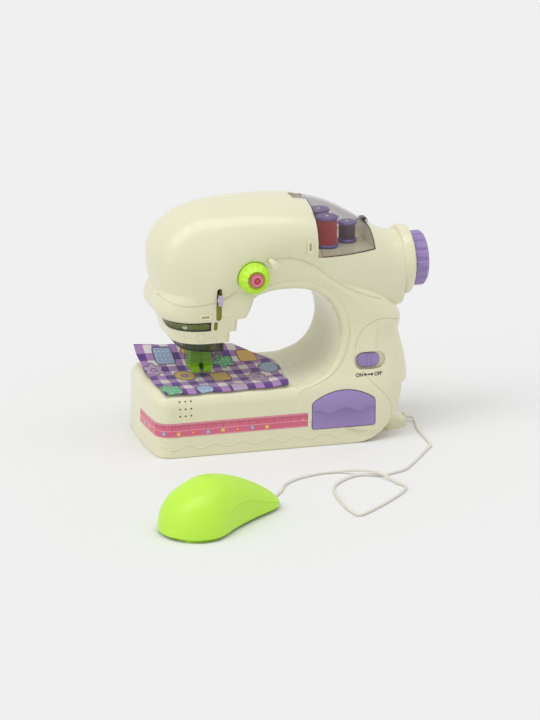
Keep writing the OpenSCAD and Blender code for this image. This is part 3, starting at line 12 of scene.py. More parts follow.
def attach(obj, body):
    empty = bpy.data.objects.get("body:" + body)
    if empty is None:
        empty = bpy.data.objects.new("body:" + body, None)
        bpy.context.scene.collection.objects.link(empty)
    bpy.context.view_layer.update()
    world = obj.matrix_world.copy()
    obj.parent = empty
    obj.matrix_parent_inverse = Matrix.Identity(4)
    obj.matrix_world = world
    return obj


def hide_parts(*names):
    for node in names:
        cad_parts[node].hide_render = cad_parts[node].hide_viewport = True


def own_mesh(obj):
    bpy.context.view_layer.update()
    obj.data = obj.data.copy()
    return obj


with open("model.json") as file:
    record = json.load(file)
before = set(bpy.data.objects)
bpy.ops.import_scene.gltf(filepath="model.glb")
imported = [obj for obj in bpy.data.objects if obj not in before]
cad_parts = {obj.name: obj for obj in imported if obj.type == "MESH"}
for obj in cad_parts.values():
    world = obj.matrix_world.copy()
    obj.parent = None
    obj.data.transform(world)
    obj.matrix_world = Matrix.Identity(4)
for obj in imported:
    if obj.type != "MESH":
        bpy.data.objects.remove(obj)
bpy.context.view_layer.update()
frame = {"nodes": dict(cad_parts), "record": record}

# Shapes are written in millimetres and turned into metres when a mesh is made
MM = 0.001

# Camera at the photograph's viewing angle
TARGET = Vector((0, 0, 0.095))
AZIMUTH = math.radians(-15.5)
ELEVATION = math.radians(16.5)
DISTANCE = 3.5
LENS = 202.6
SHIFT = (-0.00058, -0.04846)
CLIP = (0.1, 50)


def aim(obj, direction):
    """Turns a camera or a lamp to look along a direction."""
    obj.rotation_mode = "QUATERNION"
    obj.rotation_quaternion = Vector(direction).to_track_quat("-Z", "Y")


def make_camera():
    data = bpy.data.cameras.new("camera")
    data.lens = LENS
    data.shift_x, data.shift_y = SHIFT
    data.clip_start, data.clip_end = CLIP
    camera = link(bpy.data.objects.new("camera", data))
    away = Vector((
        math.sin(AZIMUTH) * math.cos(ELEVATION),
        -math.cos(AZIMUTH) * math.cos(ELEVATION),
        math.sin(ELEVATION),
    ))
    camera.location = TARGET + DISTANCE * away
    aim(camera, -away)
    bpy.context.scene.camera = camera


# Main sizes of the machine
HALF_L = 117
HALF_D = 55.5
HALF_B = 46
HALF_P = 50
BED_H = 55
ARCH_Z = 138
SHAFT_Z = 146
HEAD_Z = 96
TOP_Z = 212.5
NEEDLE_X = -64
NOSE_X = NEEDLE_X - 44
WALL = 2.4
SEAM = 0.1
FAR = 300


# Curves and lofts
def through(rows, steps):
    """Smooth curve through rows of numbers."""
    rows = np.array(rows, float)
    last = len(rows) - 1
    out = []
    for i in range(last):
        a, b, c, d = rows[max(i - 1, 0)], rows[i], rows[i + 1], rows[min(i + 2, last)]
        for t in np.arange(steps) / steps:
            out.append((2 * b + (c - a) * t + (2 * a - 5 * b + 4 * c - d) * t * t
                        + (3 * b - a - 3 * c + d) * t ** 3) / 2)
    out.append(rows[last])
    return np.array(out)


def signed_pow(value, power):
    return np.sign(value) * np.abs(value) ** power


def arc(start, stop, steps):
    return np.radians(np.linspace(start, stop, steps + 1))


def full_turn(steps):
    return 2 * np.pi * np.arange(steps) / steps


def columns(*values):
    """Points from a list or a number for each coordinate."""
    return np.stack(np.broadcast_arrays(*values), 1)


def bend(x, z, radius, angles):
    """Points on a circle about (x, z)."""
    return columns(x + radius * np.cos(angles), z + radius * np.sin(angles))


def link(obj):
    bpy.context.scene.collection.objects.link(obj)
    return obj


def solid(name, points, faces):
    """Object from points in millimetres, with its faces turned outwards."""
    mesh = bpy.data.meshes.new(name)
    mesh.from_pydata((np.array(points, float) * MM).tolist(), [], faces)
    work = bmesh.new()
    work.from_mesh(mesh)
    bmesh.ops.recalc_face_normals(work, faces=work.faces)
    work.to_mesh(mesh)
    work.free()
    return link(bpy.data.objects.new(name, mesh))


def grid_faces(rows, columns, closed):
    """Quads between rows of points, with each row a closed loop or an open line."""
    faces = []
    for i in range(rows - 1):
        for j in range(columns if closed else columns - 1):
            k = (j + 1) % columns
            faces.append((i * columns + j, i * columns + k, (i + 1) * columns + k, (i + 1) * columns + j))
    return faces


def skin(name, loops):
    """Closed solid through loops of equal point count."""
    columns = len(loops[0])
    faces = grid_faces(len(loops), columns, True)
    faces.append(tuple(range(columns)))
    faces.append(tuple(range((len(loops) - 1) * columns, len(loops) * columns)))
    return solid(name, np.concatenate(loops), faces)


# Directions along none of the axes, which a ring of points starts from, and the radius of a closed tip
TUBE_START, TURN_START = (0.31, 0.17, 0.93), (0.2, 0.5, 0.84)
TIP_R = 0.001


def ring(side, other, steps):
    """Unit circle in the plane of two directions."""
    angles = full_turn(steps)
    return np.outer(np.cos(angles), side) + np.outer(np.sin(angles), other)


def tube(name, path, radius, sides):
    """Round tube along a path of points."""
    path = np.array(path, float)
    headings = np.gradient(path, axis=0)
    headings /= np.linalg.norm(headings, axis=1)[:, None]
    side = np.cross(headings[0], TUBE_START)
    loops = []
    for point, heading in zip(path, headings):
        side = side - heading * side.dot(heading)
        side /= np.linalg.norm(side)
        loops.append(point + radius * ring(side, np.cross(heading, side), sides))
    return skin(name, loops)


def block(name, low, high):
    low, high = np.array(low, float), np.array(high, float)
    points = [[(low, high)[(i >> k) & 1][k] for k in range(3)] for i in range(8)]
    faces = [(0, 1, 3, 2), (4, 6, 7, 5), (0, 4, 5, 1), (2, 3, 7, 6), (0, 2, 6, 4), (1, 5, 7, 3)]
    return solid(name, points, faces)


def prism_y(name, outline, y0, y1):
    """Outline of (x, z) points, extruded along Y."""
    return skin(name, [[(x, y, z) for x, z in outline] for y in (y0, y1)])


def disc(x, z, radius, steps=48):
    return bend(x, z, radius, full_turn(steps))


def stadium(a, b, radius, steps=16):
    """Outline of a bar with round ends between two (x, z) places."""
    along = math.atan2(b[1] - a[1], b[0] - a[0])
    ends = [(b, -90, 90), (a, 90, 270)]
    return np.concatenate([
        bend(*place, radius, arc(start, stop, steps) + along) for place, start, stop in ends
    ])


def revolve(name, profile, place, axis, steps=64):
    """Profile of (radius, distance) points turned about an axis through a place."""
    place, axis = np.array(place, float), np.array(axis, float)
    side = np.cross(axis, TURN_START)
    side /= np.linalg.norm(side)
    rim = ring(side, np.cross(axis, side), steps)
    return skin(name, [place + axis * far + max(radius, TIP_R) * rim for radius, far in profile])


def rod(place, axis, radius, start, stop, steps=32):
    """Straight round bar or bore along an axis."""
    return revolve("rod", [(radius, start), (radius, stop)], place, axis, steps)


def above(z):
    return block("above", (-FAR, -FAR, z), (FAR, FAR, FAR))


def piece_from(name, work):
    """Object from a bmesh, which is used up."""
    mesh = bpy.data.meshes.new(name)
    work.to_mesh(mesh)
    work.free()
    return link(bpy.data.objects.new(name, mesh))


def hull(name, points):
    """Convex solid round points in millimetres."""
    work = bmesh.new()
    for point in points:
        work.verts.new(Vector(point) * MM)
    found = bmesh.ops.convex_hull(work, input=work.verts)
    inner = [v for v in found["geom_interior"] if isinstance(v, bmesh.types.BMVert)]
    bmesh.ops.delete(work, geom=inner)
    return piece_from(name, work)


def final_mesh(obj):
    """Mesh that an object's modifiers or letters make."""
    bpy.context.view_layer.update()
    return bpy.data.meshes.new_from_object(obj.evaluated_get(bpy.context.evaluated_depsgraph_get()))


def bake(obj):
    """Replaces an object's mesh by what its modifiers make of it."""
    mesh = final_mesh(obj)
    obj.modifiers.clear()
    old = obj.data
    obj.data = mesh
    bpy.data.meshes.remove(old)
    return obj


def boolean(target, operation, *tools):
    """Joins, cuts or intersects a solid with others, which are used up."""
    for tool in tools:
        modifier = target.modifiers.new(operation, "BOOLEAN")
        modifier.operation = operation
        modifier.solver = "MANIFOLD"
        modifier.object = tool
    bake(target)
    for tool in tools:
        bpy.data.objects.remove(tool)
    return target


def join(name, pieces):
    """One object from several, with their surfaces left as they are."""
    work = bmesh.new()
    for piece in pieces:
        work.from_mesh(piece.data)
        bpy.data.objects.remove(piece)
    return piece_from(name, work)


def union(target, *tools):
    return boolean(target, "UNION", *tools)


def cut(target, *tools):
    return boolean(target, "DIFFERENCE", *tools)


WELD = 1e-6


def smooth(obj, angle):
    """Smooth shading, with edges sharper than the angle left crisp."""
    work = bmesh.new()
    work.from_mesh(obj.data)
    bmesh.ops.remove_doubles(work, verts=work.verts, dist=WELD)
    bmesh.ops.dissolve_degenerate(work, edges=work.edges, dist=WELD)
    work.to_mesh(obj.data)
    work.free()
    obj.data.polygons.foreach_set("use_smooth", [True] * len(obj.data.polygons))
    obj.data.set_sharp_from_angle(angle=math.radians(angle))
    modifier = obj.modifiers.new("even", "WEIGHTED_NORMAL")
    modifier.keep_sharp = True
    return bake(obj)


def finish_piece(obj, body, slot, node=None, material=None, angle=25):
    """Shades a piece, gives it its finish and lets it ride on its body."""
    smooth(obj, angle)
    obj.data.materials.clear()
    obj.data.materials.append(material or materials[slot])
    if node:
        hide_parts(node)
    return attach(obj, body)


# Materials
def linear(red, green, blue):
    """Linear colour from the 0 to 255 values that a picture shows."""
    def one(v):
        v /= 255
        return v / 12.92 if v <= 0.04045 else ((v + 0.055) / 1.055) ** 2.4
    return (one(red), one(green), one(blue), 1)


def shade(colour, factor):
    return tuple(min(c * factor, 1) for c in colour[:3]) + (1,)


class Surface:
    """Node material under construction, with short calls for the nodes it needs."""

    def __init__(self, name):
        self.material = bpy.data.materials.new(name)
        self.material.use_nodes = True
        self.tree = self.material.node_tree
        self.shader = self.tree.nodes["Principled BSDF"]

    def node(self, kind, inputs=None, **settings):
        node = self.tree.nodes.new(kind)
        for key, value in settings.items():
            setattr(node, key, value)
        for key, value in (inputs or {}).items():
            self.put(node.inputs[key], value)
        return node

    def put(self, socket, value):
        if isinstance(value, bpy.types.NodeSocket):
            self.tree.links.new(value, socket)
        else:
            socket.default_value = value

    def set(self, **values):
        """Sets the shader's inputs and gives the material."""
        for key, value in values.items():
            self.put(self.shader.inputs[key.replace("_", " ")], value)
        return self.material

    def place(self):
        return self.node("ShaderNodeTexCoord").outputs["Object"]

    def split(self, vector=None):
        """Separate coordinates of a vector, or of the place on the object."""
        return self.node("ShaderNodeSeparateXYZ", {0: vector or self.place()}).outputs

    def noise(self, scale, detail=3.0, vector=None):
        inputs = {"Vector": vector or self.place(), "Scale": scale, "Detail": detail}
        return self.node("ShaderNodeTexNoise", inputs).outputs["Fac"]

    def streaks(self, scale, detail):
        """Noise that is drawn out along one direction."""
        place = self.node("ShaderNodeMapping", {"Vector": self.place(), "Scale": scale}).outputs[0]
        return self.noise(1, detail, place)

    def math(self, operation, a, b=0.0):
        return self.node("ShaderNodeMath", {0: a, 1: b}, operation=operation).outputs[0]

    def times(self, a, b):
        return self.math("MULTIPLY", a, b)

    def less(self, a, b):
        return self.math("LESS_THAN", a, b)

    def more(self, a, b):
        return self.math("GREATER_THAN", a, b)

    def distance(self, du, dv):
        return self.math("SQRT", self.math("ADD", self.times(du, du), self.times(dv, dv)))

    def spread(self, value, low, high):
        """Maps a value of 0 to 1 onto a range."""
        return self.node("ShaderNodeMapRange", {"Value": value, "To Min": low, "To Max": high}).outputs[0]

    def mix(self, factor, a, b):
        return self.node("ShaderNodeMix", {0: factor, 6: a, 7: b}, data_type="RGBA").outputs[2]

    def vary(self, factor, colour, low, high):
        """Colour between a darker and a lighter shade of its own."""
        return self.mix(factor, shade(colour, low), shade(colour, high))

    def bump(self, height, strength, distance):
        inputs = {"Height": height, "Strength": strength, "Distance": distance}
        return self.node("ShaderNodeBump", inputs).outputs[0]


def plastic(name, colour, rough=0.34, grain=0.05, alpha=1.0):
    """Moulded plastic: faint cloudiness, uneven gloss and a fine mould grain."""
    s = Surface(name)
    return s.set(
        Base_Color=s.vary(s.noise(22, 4), colour, 0.965, 1.03),
        Roughness=s.spread(s.noise(160, 5), rough - 0.05, rough + 0.07),
        Normal=s.bump(s.noise(2600, 2), grain, 0.0001),
        Alpha=alpha,
    )


def metal(name, colour, rough=0.38):
    """Turned metal with fine drawing lines."""
    s = Surface(name)
    lines = s.streaks((200, 200, 3000), 3)
    return s.set(
        Base_Color=s.vary(s.noise(90), colour, 0.85, 1.1),
        Metallic=1.0,
        Roughness=s.spread(lines, rough - 0.08, rough + 0.12),
        Normal=s.bump(lines, 0.08, 0.0001),
    )


def clear_plastic(name, colour, alpha, edge_alpha, rough=0.06):
    """Thin tinted plastic that grows denser where it is seen edge on."""
    s = Surface(name)
    facing = s.node("ShaderNodeLayerWeight", {"Blend": 0.35}).outputs["Facing"]
    return s.set(
        Base_Color=s.vary(s.noise(40), colour, 0.94, 1.05),
        Roughness=s.spread(s.noise(300), rough - 0.02, rough + 0.05),
        Alpha=s.spread(facing, alpha, edge_alpha),
        Normal=s.bump(s.noise(35, 2), 0.02, 0.0003),
    )


SMOKE_LINE = 1.1


def smoke_finish(name, tint, alpha, low, high, right):
    """Smoked window that is darker along its moulded border, in millimetres."""
    s = Surface(name)
    x, _, z = s.split()
    edge = s.less(z, (low + SMOKE_LINE) * MM)
    edge = s.math("MAXIMUM", edge, s.more(z, (high - SMOKE_LINE) * MM))
    edge = s.math("MAXIMUM", edge, s.more(x, right * MM))
    return s.set(
        Base_Color=s.mix(edge, tint, linear(36, 35, 31)),
        Roughness=s.spread(s.noise(300), 0.06, 0.12),
        Alpha=s.spread(edge, alpha, 0.96),
    )


def thread_finish(name, colour):
    """Spun thread: fine twist lines and a soft sheen."""
    s = Surface(name)
    twist = s.streaks((900, 900, 2600), 4)
    return s.set(
        Base_Color=s.vary(twist, colour, 0.72, 1.18),
        Roughness=0.6,
        Normal=s.bump(twist, 0.35, 0.0002),
        Sheen_Weight=0.4,
    )


def board_finish():
    """Circuit board: solder mask with paler copper tracks."""
    s = Surface("board_green")
    tracks = s.node("ShaderNodeTexBrick", {"Vector": s.place(), "Scale": 180.0}).outputs["Fac"]
    return s.set(Base_Color=s.mix(tracks, linear(40, 96, 58), linear(70, 130, 80)), Roughness=0.4)


CAP_BEADS, CAP_BEAD_R = 18.0, 4.6
CAP_RINGS = [
    (5.4, (166, 56, 84)), (5.0, (216, 118, 142)), (CAP_BEAD_R, (238, 176, 190)),
    (3.4, (196, 74, 92)), (2.3, (176, 46, 58)), (1.0, (214, 104, 52)),
]


def cap_finish():
    """Pink cap with concentric printed rings, one of them of beads."""
    s = Surface("dial_cap")
    x, _, z = s.split()
    dx = s.math("SUBTRACT", x, DIAL[0] * MM)
    dz = s.math("SUBTRACT", z, DIAL[2] * MM)
    far = s.times(s.distance(dx, dz), 1 / MM)
    beads = s.more(s.math("COSINE", s.times(s.math("ARCTAN2", dz, dx), CAP_BEADS)), 0.1)
    colour = linear(204, 92, 118)
    for radius, tint in CAP_RINGS:
        inside = s.less(far, radius)
        if radius == CAP_BEAD_R:
            inside = s.times(beads, inside)
        colour = s.mix(inside, colour, linear(*tint))
    return s.set(Base_Color=colour, Roughness=s.spread(s.noise(180), 0.29, 0.4))


def battery_finish():
    """Printed battery sleeve with two bands along its length."""
    s = Surface("battery_wrap")
    band = s.more(s.math("SINE", s.times(s.split()["X"], 140.0)), 0.3)
    colour = s.mix(band, linear(60, 112, 80), linear(206, 206, 200))
    return s.set(Base_Color=colour, Roughness=0.35, Metallic=0.3)


# Colour, roughness and grain of each moulded plastic
PLASTICS = {
    "cream_plastic": ((232, 229, 197), 0.19, 0.006),
    "purple_plastic": ((156, 134, 189), 0.19, 0.02),
    "lime_plastic": ((194, 244, 68), 0.34, 0.05),
    # olive_plastic gives the liner deep in the take-up slot the lime's colour as it looks in shade: painted
    # shade
    "olive_plastic": ((142, 136, 34), 0.4),
    "lilac_plastic": ((196, 180, 212), 0.35),
    "pink_plastic": ((216, 110, 138), 0.34, 0.03),
    "white_plastic": ((236, 232, 214), 0.4),
    "black_plastic": ((46, 46, 50), 0.45),
    "cord": ((230, 225, 216), 0.5, 0.08),
}
materials = {name: plastic(name, linear(*tint), *rest) for name, (tint, *rest) in PLASTICS.items()}
materials.update({
    "smoke_plastic": clear_plastic("smoke_plastic", linear(72, 70, 60), 0.78, 0.97, 0.1),
    "clear_plastic": clear_plastic("clear_plastic", linear(200, 198, 200), 0.18, 0.7),
    "steel": metal("steel", linear(190, 194, 200)),
    "brass": metal("brass", linear(206, 170, 96)),
    "board_green": board_finish(),
    "battery_wrap": battery_finish(),
    "red_thread": thread_finish("red_thread", linear(200, 64, 70)),
    "purple_thread": thread_finish("purple_thread", linear(88, 66, 98)),
})
foot_lime = plastic("foot_lime", linear(140, 206, 30))
dial_lime = plastic("dial_lime", linear(198, 246, 62))
spool_purple = plastic("spool_purple", linear(120, 98, 170))
cover_clear = clear_plastic("cover_clear", linear(118, 104, 106), 0.075, 0.4)
guard_clear = clear_plastic("guard_clear", linear(76, 84, 52), 0.2, 0.7)
cover_edge = plastic("cover_edge", linear(58, 52, 54), 0.19, alpha=0.94)


# Pedal cord along the route that the photograph shows
CORD_D = 2.4
CORD_Z = 1.25
CORD_ROUTE = [
    (121, -6, 4), (127, -8, 3), (127, -16, CORD_Z), (123, -37, CORD_Z), (122, -66, CORD_Z),
    (120, -82, CORD_Z), (113, -92, CORD_Z), (84, -133, CORD_Z), (71, -142, CORD_Z), (57, -147, CORD_Z),
    (37, -142, CORD_Z),
    (17, -155, CORD_Z), (7, -172, CORD_Z), (4, -202, CORD_Z), (5, -229, CORD_Z), (14, -238, CORD_Z),
    (63, -190, CORD_Z), (62, -168, 1.7), (53, -149, 4.2), (37, -138, 4.2), (25, -130, 1.7),
    (9, -129, CORD_Z), (-10, -135, CORD_Z), (-21, -142, CORD_Z), (-29.5, -150.5, CORD_Z), (-35, -162, CORD_Z),
    (-44, -175.5, CORD_Z), (-57.6, -191.1, CORD_Z),
]


def make_cord():
    path = through(CORD_ROUTE, 8) * MM
    curve = bpy.data.curves.new("pedal_lead", "CURVE")
    curve.dimensions = "3D"
    curve.bevel_depth = CORD_D / 2 * MM
    curve.bevel_resolution = 4
    curve.use_fill_caps = True
    spline = curve.splines.new("POLY")
    spline.points.add(len(path) - 1)
    spline.points.foreach_set("co", np.hstack([path, np.ones((len(path), 1))]).ravel())
    cord = link(bpy.data.objects.new("pedal_lead", curve))
    curve.materials.append(materials["cord"])
    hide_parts("pedal_cord")
    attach(cord, "root")


# Outer forms of the housing, each grown inwards by an inset
POD_POWER = 2.3
POD_ROWS = [
    (NOSE_X, -42, 14, -42), (NOSE_X + 3.5, -31, -6, -25), (NOSE_X + 11.5, -19.5, -28, -13),
    (NOSE_X + 25.5, -9, -50, -5), (NEEDLE_X - 2, -3.6, -58, -1), (NEEDLE_X + 11, -2, -38, 0),
    (NEEDLE_X + 36, -0.5, -16, 0), (0, -1.2, 4, 0), (25, -3.6, -4, -0.5), (50, -10.2, -28, -2),
    (70, -20.3, -38, -6), (HALF_L - 31, -30.8, -42, -10.5), (HALF_L - 17, -38, -42, -17),
    (HALF_L - 4, -40.5, -39, -20.5),
]
POD_PATH = through(POD_ROWS, 12)


def pod_value(x, column):
    return np.interp(x, POD_PATH[:, 0], POD_PATH[:, column])


def pod_top(x):
    return TOP_Z + pod_value(x, 1)


def pod_section(x, inset, angles):
    """Points of the pod's cross-section at x."""
    top = pod_top(x) - inset
    low = SHAFT_Z + pod_value(x, 2) + inset
    half = HALF_P + pod_value(x, 3) - inset
    rise = (top - low) / 2
    power = 2 / POD_POWER
    y = half * signed_pow(np.cos(angles), power)
    return columns(x, y, low + rise + rise * signed_pow(np.sin(angles), power))


# Sections of the nose that are too small for an inset
POD_TIP = 6


def pod(inset, sides):
    xs = POD_PATH[POD_TIP if inset else 0:, 0]
    form = skin("pod", [pod_section(x, inset, full_turn(sides)) for x in xs])
    return boolean(form, "INTERSECT", above(HEAD_Z + inset))


ARM_ROWS = [
    (NEEDLE_X + 32, ARCH_Z - 20, NEEDLE_X - 6, SHAFT_Z + 4, HALF_B - 4, 12),
    (NEEDLE_X + 38.5, ARCH_Z - 7, NEEDLE_X + 4, SHAFT_Z + 22, HALF_B - 1, 12),
    (NEEDLE_X + 51, ARCH_Z - 1.5, NEEDLE_X + 34, SHAFT_Z + 32, HALF_B, 12),
    (4.5, ARCH_Z, 2, SHAFT_Z + 36, HALF_B, 10),
    (24, ARCH_Z - 2.5, 35, SHAFT_Z + 16, HALF_B, 10),
    (38, ARCH_Z - 11, 64, SHAFT_Z - 4, HALF_B, 12),
    (47, ARCH_Z - 25, 90, SHAFT_Z - 19, HALF_B, 18),
    (50.5, BED_H + 43, HALF_L - 8, SHAFT_Z - 39, HALF_B, 27),
    (49, BED_H + 30, HALF_L - 8.5, SHAFT_Z - 55, HALF_B + 0.5, 28),
    (44, BED_H + 18, HALF_L - 4.5, SHAFT_Z - 72, HALF_B + 2, 28),
    (35, BED_H + 8, HALF_L - 1.8, BED_H + 1, HALF_B + 5, 30),
    (22, BED_H + 2, HALF_L - 2.2, BED_H - 15, HALF_D - 1.5, 33),
    (6, BED_H - 4, HALF_L - 5, BED_H - 35, HALF_D + 0.2, 36),
    (2, BED_H - 27, HALF_L - 9, 0, HALF_D + 0.2, 38),
]
LIP = [(0, 9), (0.9, 4.6), (3, 1.8), (6, 0.9), (8.4, 1.6), (10.8, 0.4)]
CROWN = 1


def mirrored(front):
    """Closed loop from its front half."""
    return np.concatenate([front, (front * (1, -1, 1))[::-1]])


def arm_section(row, inset, fine):
    throat, outer = np.array(row[0:2]), np.array(row[2:4])
    length = np.linalg.norm(outer - throat) - 2 * inset
    along = (outer - throat) / np.linalg.norm(outer - throat)
    radius = row[5] - inset
    turn = arc(0, 90, 12 if fine else 3)
    face = LIP + [(length / 2, -CROWN), (length - radius, 0)]
    if fine:
        face = through(face, 5)
    rim = columns(length - radius + radius * np.sin(turn), radius * (1 - np.cos(turn)))
    half = np.concatenate([np.array(face)[:-1], rim])
    spots = throat + np.outer(half[:, 0] + inset, along)
    return mirrored(columns(spots[:, 0], half[:, 1] + inset - row[4], spots[:, 1]))


def arm(inset, fine):
    rows = through(ARM_ROWS, 12) if fine else np.array(ARM_ROWS, float)
    return skin("arm", [arm_section(row, inset, fine) for row in rows])


LEFT_BULGE = 4
LEFT_R, LEFT_LOSS = 14, 6
RIGHT_R = 38
RIGHT_IN = 8
DRAFT = 0.6
FOOT_EDGE = [(0, 1), (0.4, 0.4), (1.5, 0)]
FLAT_Z = (6, 20, 34, 42)
EDGE_FRONT, EDGE_BACK, EDGE_LEFT = 11, 3, 7


def base_half(side, inset, ends, steps):
    """Outline of the front (-1) or back (1) half of the base, from the left end to the right end."""
    right = HALF_L - RIGHT_IN - ends
    left = -HALF_L + ends
    left_r = LEFT_R - min(ends, LEFT_LOSS)
    right_r = RIGHT_R - ends
    y_half = HALF_D - inset
    flat = y_half - left_r
    y = flat * np.linspace(0, 1, steps)
    side_line = columns(left + LEFT_BULGE * (y / y_half) ** 2, y)
    turn = arc(0, 90, steps)[1:]
    corner_x = left + LEFT_BULGE * (flat / y_half) ** 2
    corner = columns(corner_x + left_r * (1 - np.cos(turn)), flat + left_r * np.sin(turn))
    turn = arc(0, 90, 2 * steps)
    end = columns(right - right_r + right_r * np.sin(turn), y_half - right_r + right_r * np.cos(turn))
    return np.concatenate([side_line, corner, end]) * (1, side)


def base_loop(z, front, back, ends, steps):
    points = np.concatenate([base_half(-1, front, ends, steps), base_half(1, back, ends, steps)[:0:-1]])
    return columns(*points.T, z)


def edge_in(z, radius):
    """How far an edge of that radius has turned inwards at a height."""
    return radius - math.sqrt(max(radius ** 2 - max(z - BED_H + radius, 0) ** 2, 0))


def base(inset, steps):
    rows = [(z, DRAFT) for z in BED_H - EDGE_FRONT + EDGE_FRONT * np.sin(arc(0, 90, 3 * steps))]
    flat = [(z, DRAFT * z / (BED_H - EDGE_FRONT)) for z in FLAT_Z]
    rows = ([(-1, 0)] if inset else FOOT_EDGE + flat) + rows
    loops = []
    for z, draft in rows:
        ins = [draft + inset + edge_in(z, r) for r in (EDGE_FRONT, EDGE_BACK, EDGE_LEFT)]
        loops.append(base_loop(z - (inset if z > 2 else 0), *ins, steps))
    return skin("base", loops)


# Height, left end, right end, half depth and left radius of the needle head
HEAD_LOW = [
    (0, -30, 16.5, -2.5, 26), (9.3, -32, 16.5, -1.5, 27), (9.8, -32.2, 22.5, -1.5, 27), (20, -38, 23, 0, 28),
]
HEAD_HIGH = [
    (20.8, -39.5, 31, 0.2, 28), (23, -41.5, 32, 0.4, 28), (27, -43, 34, 0.6, 28),
    (32, -42.8, 36, 0.6, 28), (38, -41.5, 38, 0, 28), (46, -38, 41, -2, 28),
]
HEAD_CORNER = 4


def head_loop(row, inset, z, steps):
    left, right = NEEDLE_X + row[1] + inset, NEEDLE_X + row[2] - inset
    y_half = HALF_B + row[3] - inset
    left_r, right_r = row[4] - inset, max(HEAD_CORNER - inset, 1)
    turn, small = arc(0, 90, 2 * steps), arc(0, 90, steps)
    large_y = -(y_half - left_r) - left_r * np.sin(turn)
    small_y = -(y_half - right_r) - right_r * np.cos(small)
    return mirrored(np.concatenate([
        columns(left + left_r * (1 - np.cos(turn)), large_y, z),
        columns(right - right_r + right_r * np.sin(small), small_y, z),
    ]))


def head(inset, steps):
    rows = np.concatenate([HEAD_LOW, through(HEAD_HIGH, steps)])
    return skin("head", [
        head_loop(row, inset, HEAD_Z + row[0] + (inset if i == 0 else 0), steps) for i, row in enumerate(rows)
    ])


NECK_END = HALF_L + 6.5
NECK_START, NECK_FULL = HALF_L - 30, HALF_L - 18
NECK_R, ROOT_R = 26.6, 24.6
FLANGE_R = 30.5
FLANGE_ROWS = [
    (NECK_R, NECK_END - 11.5), (FLANGE_R - 1, NECK_END - 10.5), (FLANGE_R, NECK_END - 8),
    (FLANGE_R, NECK_END - 3.5), (FLANGE_R - 1, NECK_END - 1.5), (FLANGE_R - 4, NECK_END),
]


def neck(inset, steps):
    radius = NECK_R - inset
    profile = [(0, NECK_START), (ROOT_R - inset, NECK_START), (radius, NECK_FULL)]
    profile.append((radius, FLANGE_ROWS[0][1]))
    profile += [(radius, NECK_END - inset)] if inset else list(through(FLANGE_ROWS, 5)[1:])
    return revolve("neck", profile + [(0, NECK_END - inset)], (0, 0, SHAFT_Z), (1, 0, 0), steps)


def body_form(inset):
    fine = inset == 0
    sides, turns, steps = (96, 96, 8) if fine else (28, 24, 3)
    form = pod(inset, sides)
    return union(form, arm(inset, fine), base(inset, steps), head(inset, steps), neck(inset, turns))


# Places of the openings
TRAY_Z = 166
WELL_X = (28.8, HALF_L - 33)
HINGE_X = WELL_X[1] - 0.5
HINGE_Z = pod_top(HINGE_X) + 0.8
TONGUE_X, TONGUE_Y = 18, 8.5
COVER_T = 1.8
CORNER_X, CORNER_R = 57, 48
TAKE_X = NEEDLE_X + 6
THREAD_X = NEEDLE_X + 3.3
WINDOW_X = NEEDLE_X - 0.5
DIAL = (-28.2, -46.8, SHAFT_Z + 7)
DIAL_D = 27
POST = (-13.6, SHAFT_Z + 21)
SWITCH = (75.3, BED_H + 16.5)
SLOT_L, SLOT_H = 28, 15.2
RECESS_Y, RECESS_T, RECESS_WALL = -HALF_B + 0.6, 1.6, 1.5
BUTTON_L, BUTTON_H = 20.8, 13
BUTTON_X = SWITCH[0] - SLOT_L / 2 + BUTTON_L / 2 + 2.6
SPEAKER = (-89.8, 43.2)
SPEAKER_PITCH = (4.9, 6.2)
DRAWER = (50, 15.7)
DRAWER_W, DRAWER_H, DRAWER_SIDE = 56, 33, 23.3
DRAWER_CORNER, DRAWER_FOOT = 5, 2
DRAWER_GAP = 0.6
BOSSES = [(-104, 26), (12, 26), (98, 60), (-90, 170), (12, 190)]
SCREW_HEAD_Y, SCREW_HEAD_R = 22, 2.8
EXIT = (121, -6, 4)
SHAVE = 0.02
WELL_TOP = TOP_Z + 9
TONGUE_GAP = 0.72
KNUCKLE_ROOM = (3.02, 4.42)
STEM_ROOM, STEM_SLOT_R = (BUTTON_X - 3.4, BUTTON_X + 5.4), 1.6
TAKE_Z, TAKE_R = (HEAD_Z + 22.8, HEAD_Z + 47.1), 2.42
THREAD_Z, THREAD_SLOT_R = (HEAD_Z + 13.4, HEAD_Z + 17.8), 1.72
DIAL_BORE_R, POST_R, SOUND_R = 3.42, 2.72, 0.85
STEM_DEPTH, SLOT_DEPTH, DRAWER_DEPTH, SOUND_DEPTH = 8, 9, 12, 6
DIAL_GAP = 0.72
WINDOW_HOLE_Y, WINDOW_HOLE_Z = -14, (HEAD_Z + 11.4, HEAD_Z + 19.6)
CARRIAGE_LOW = (NEEDLE_X - 14.02, -13.52, HEAD_Z - 9)
CARRIAGE_HIGH = (NEEDLE_X + 12.02, 13.52, HEAD_Z + WALL + 1)
WHEEL_BORE_R, CORD_BORE_R, CORD_BORE_L = 8.62, 2.82, 16
EAR_R, EAR_LOW, EAR_FOOT, EAR_BORE_R = 2.2, 3.4, 5, 1.05


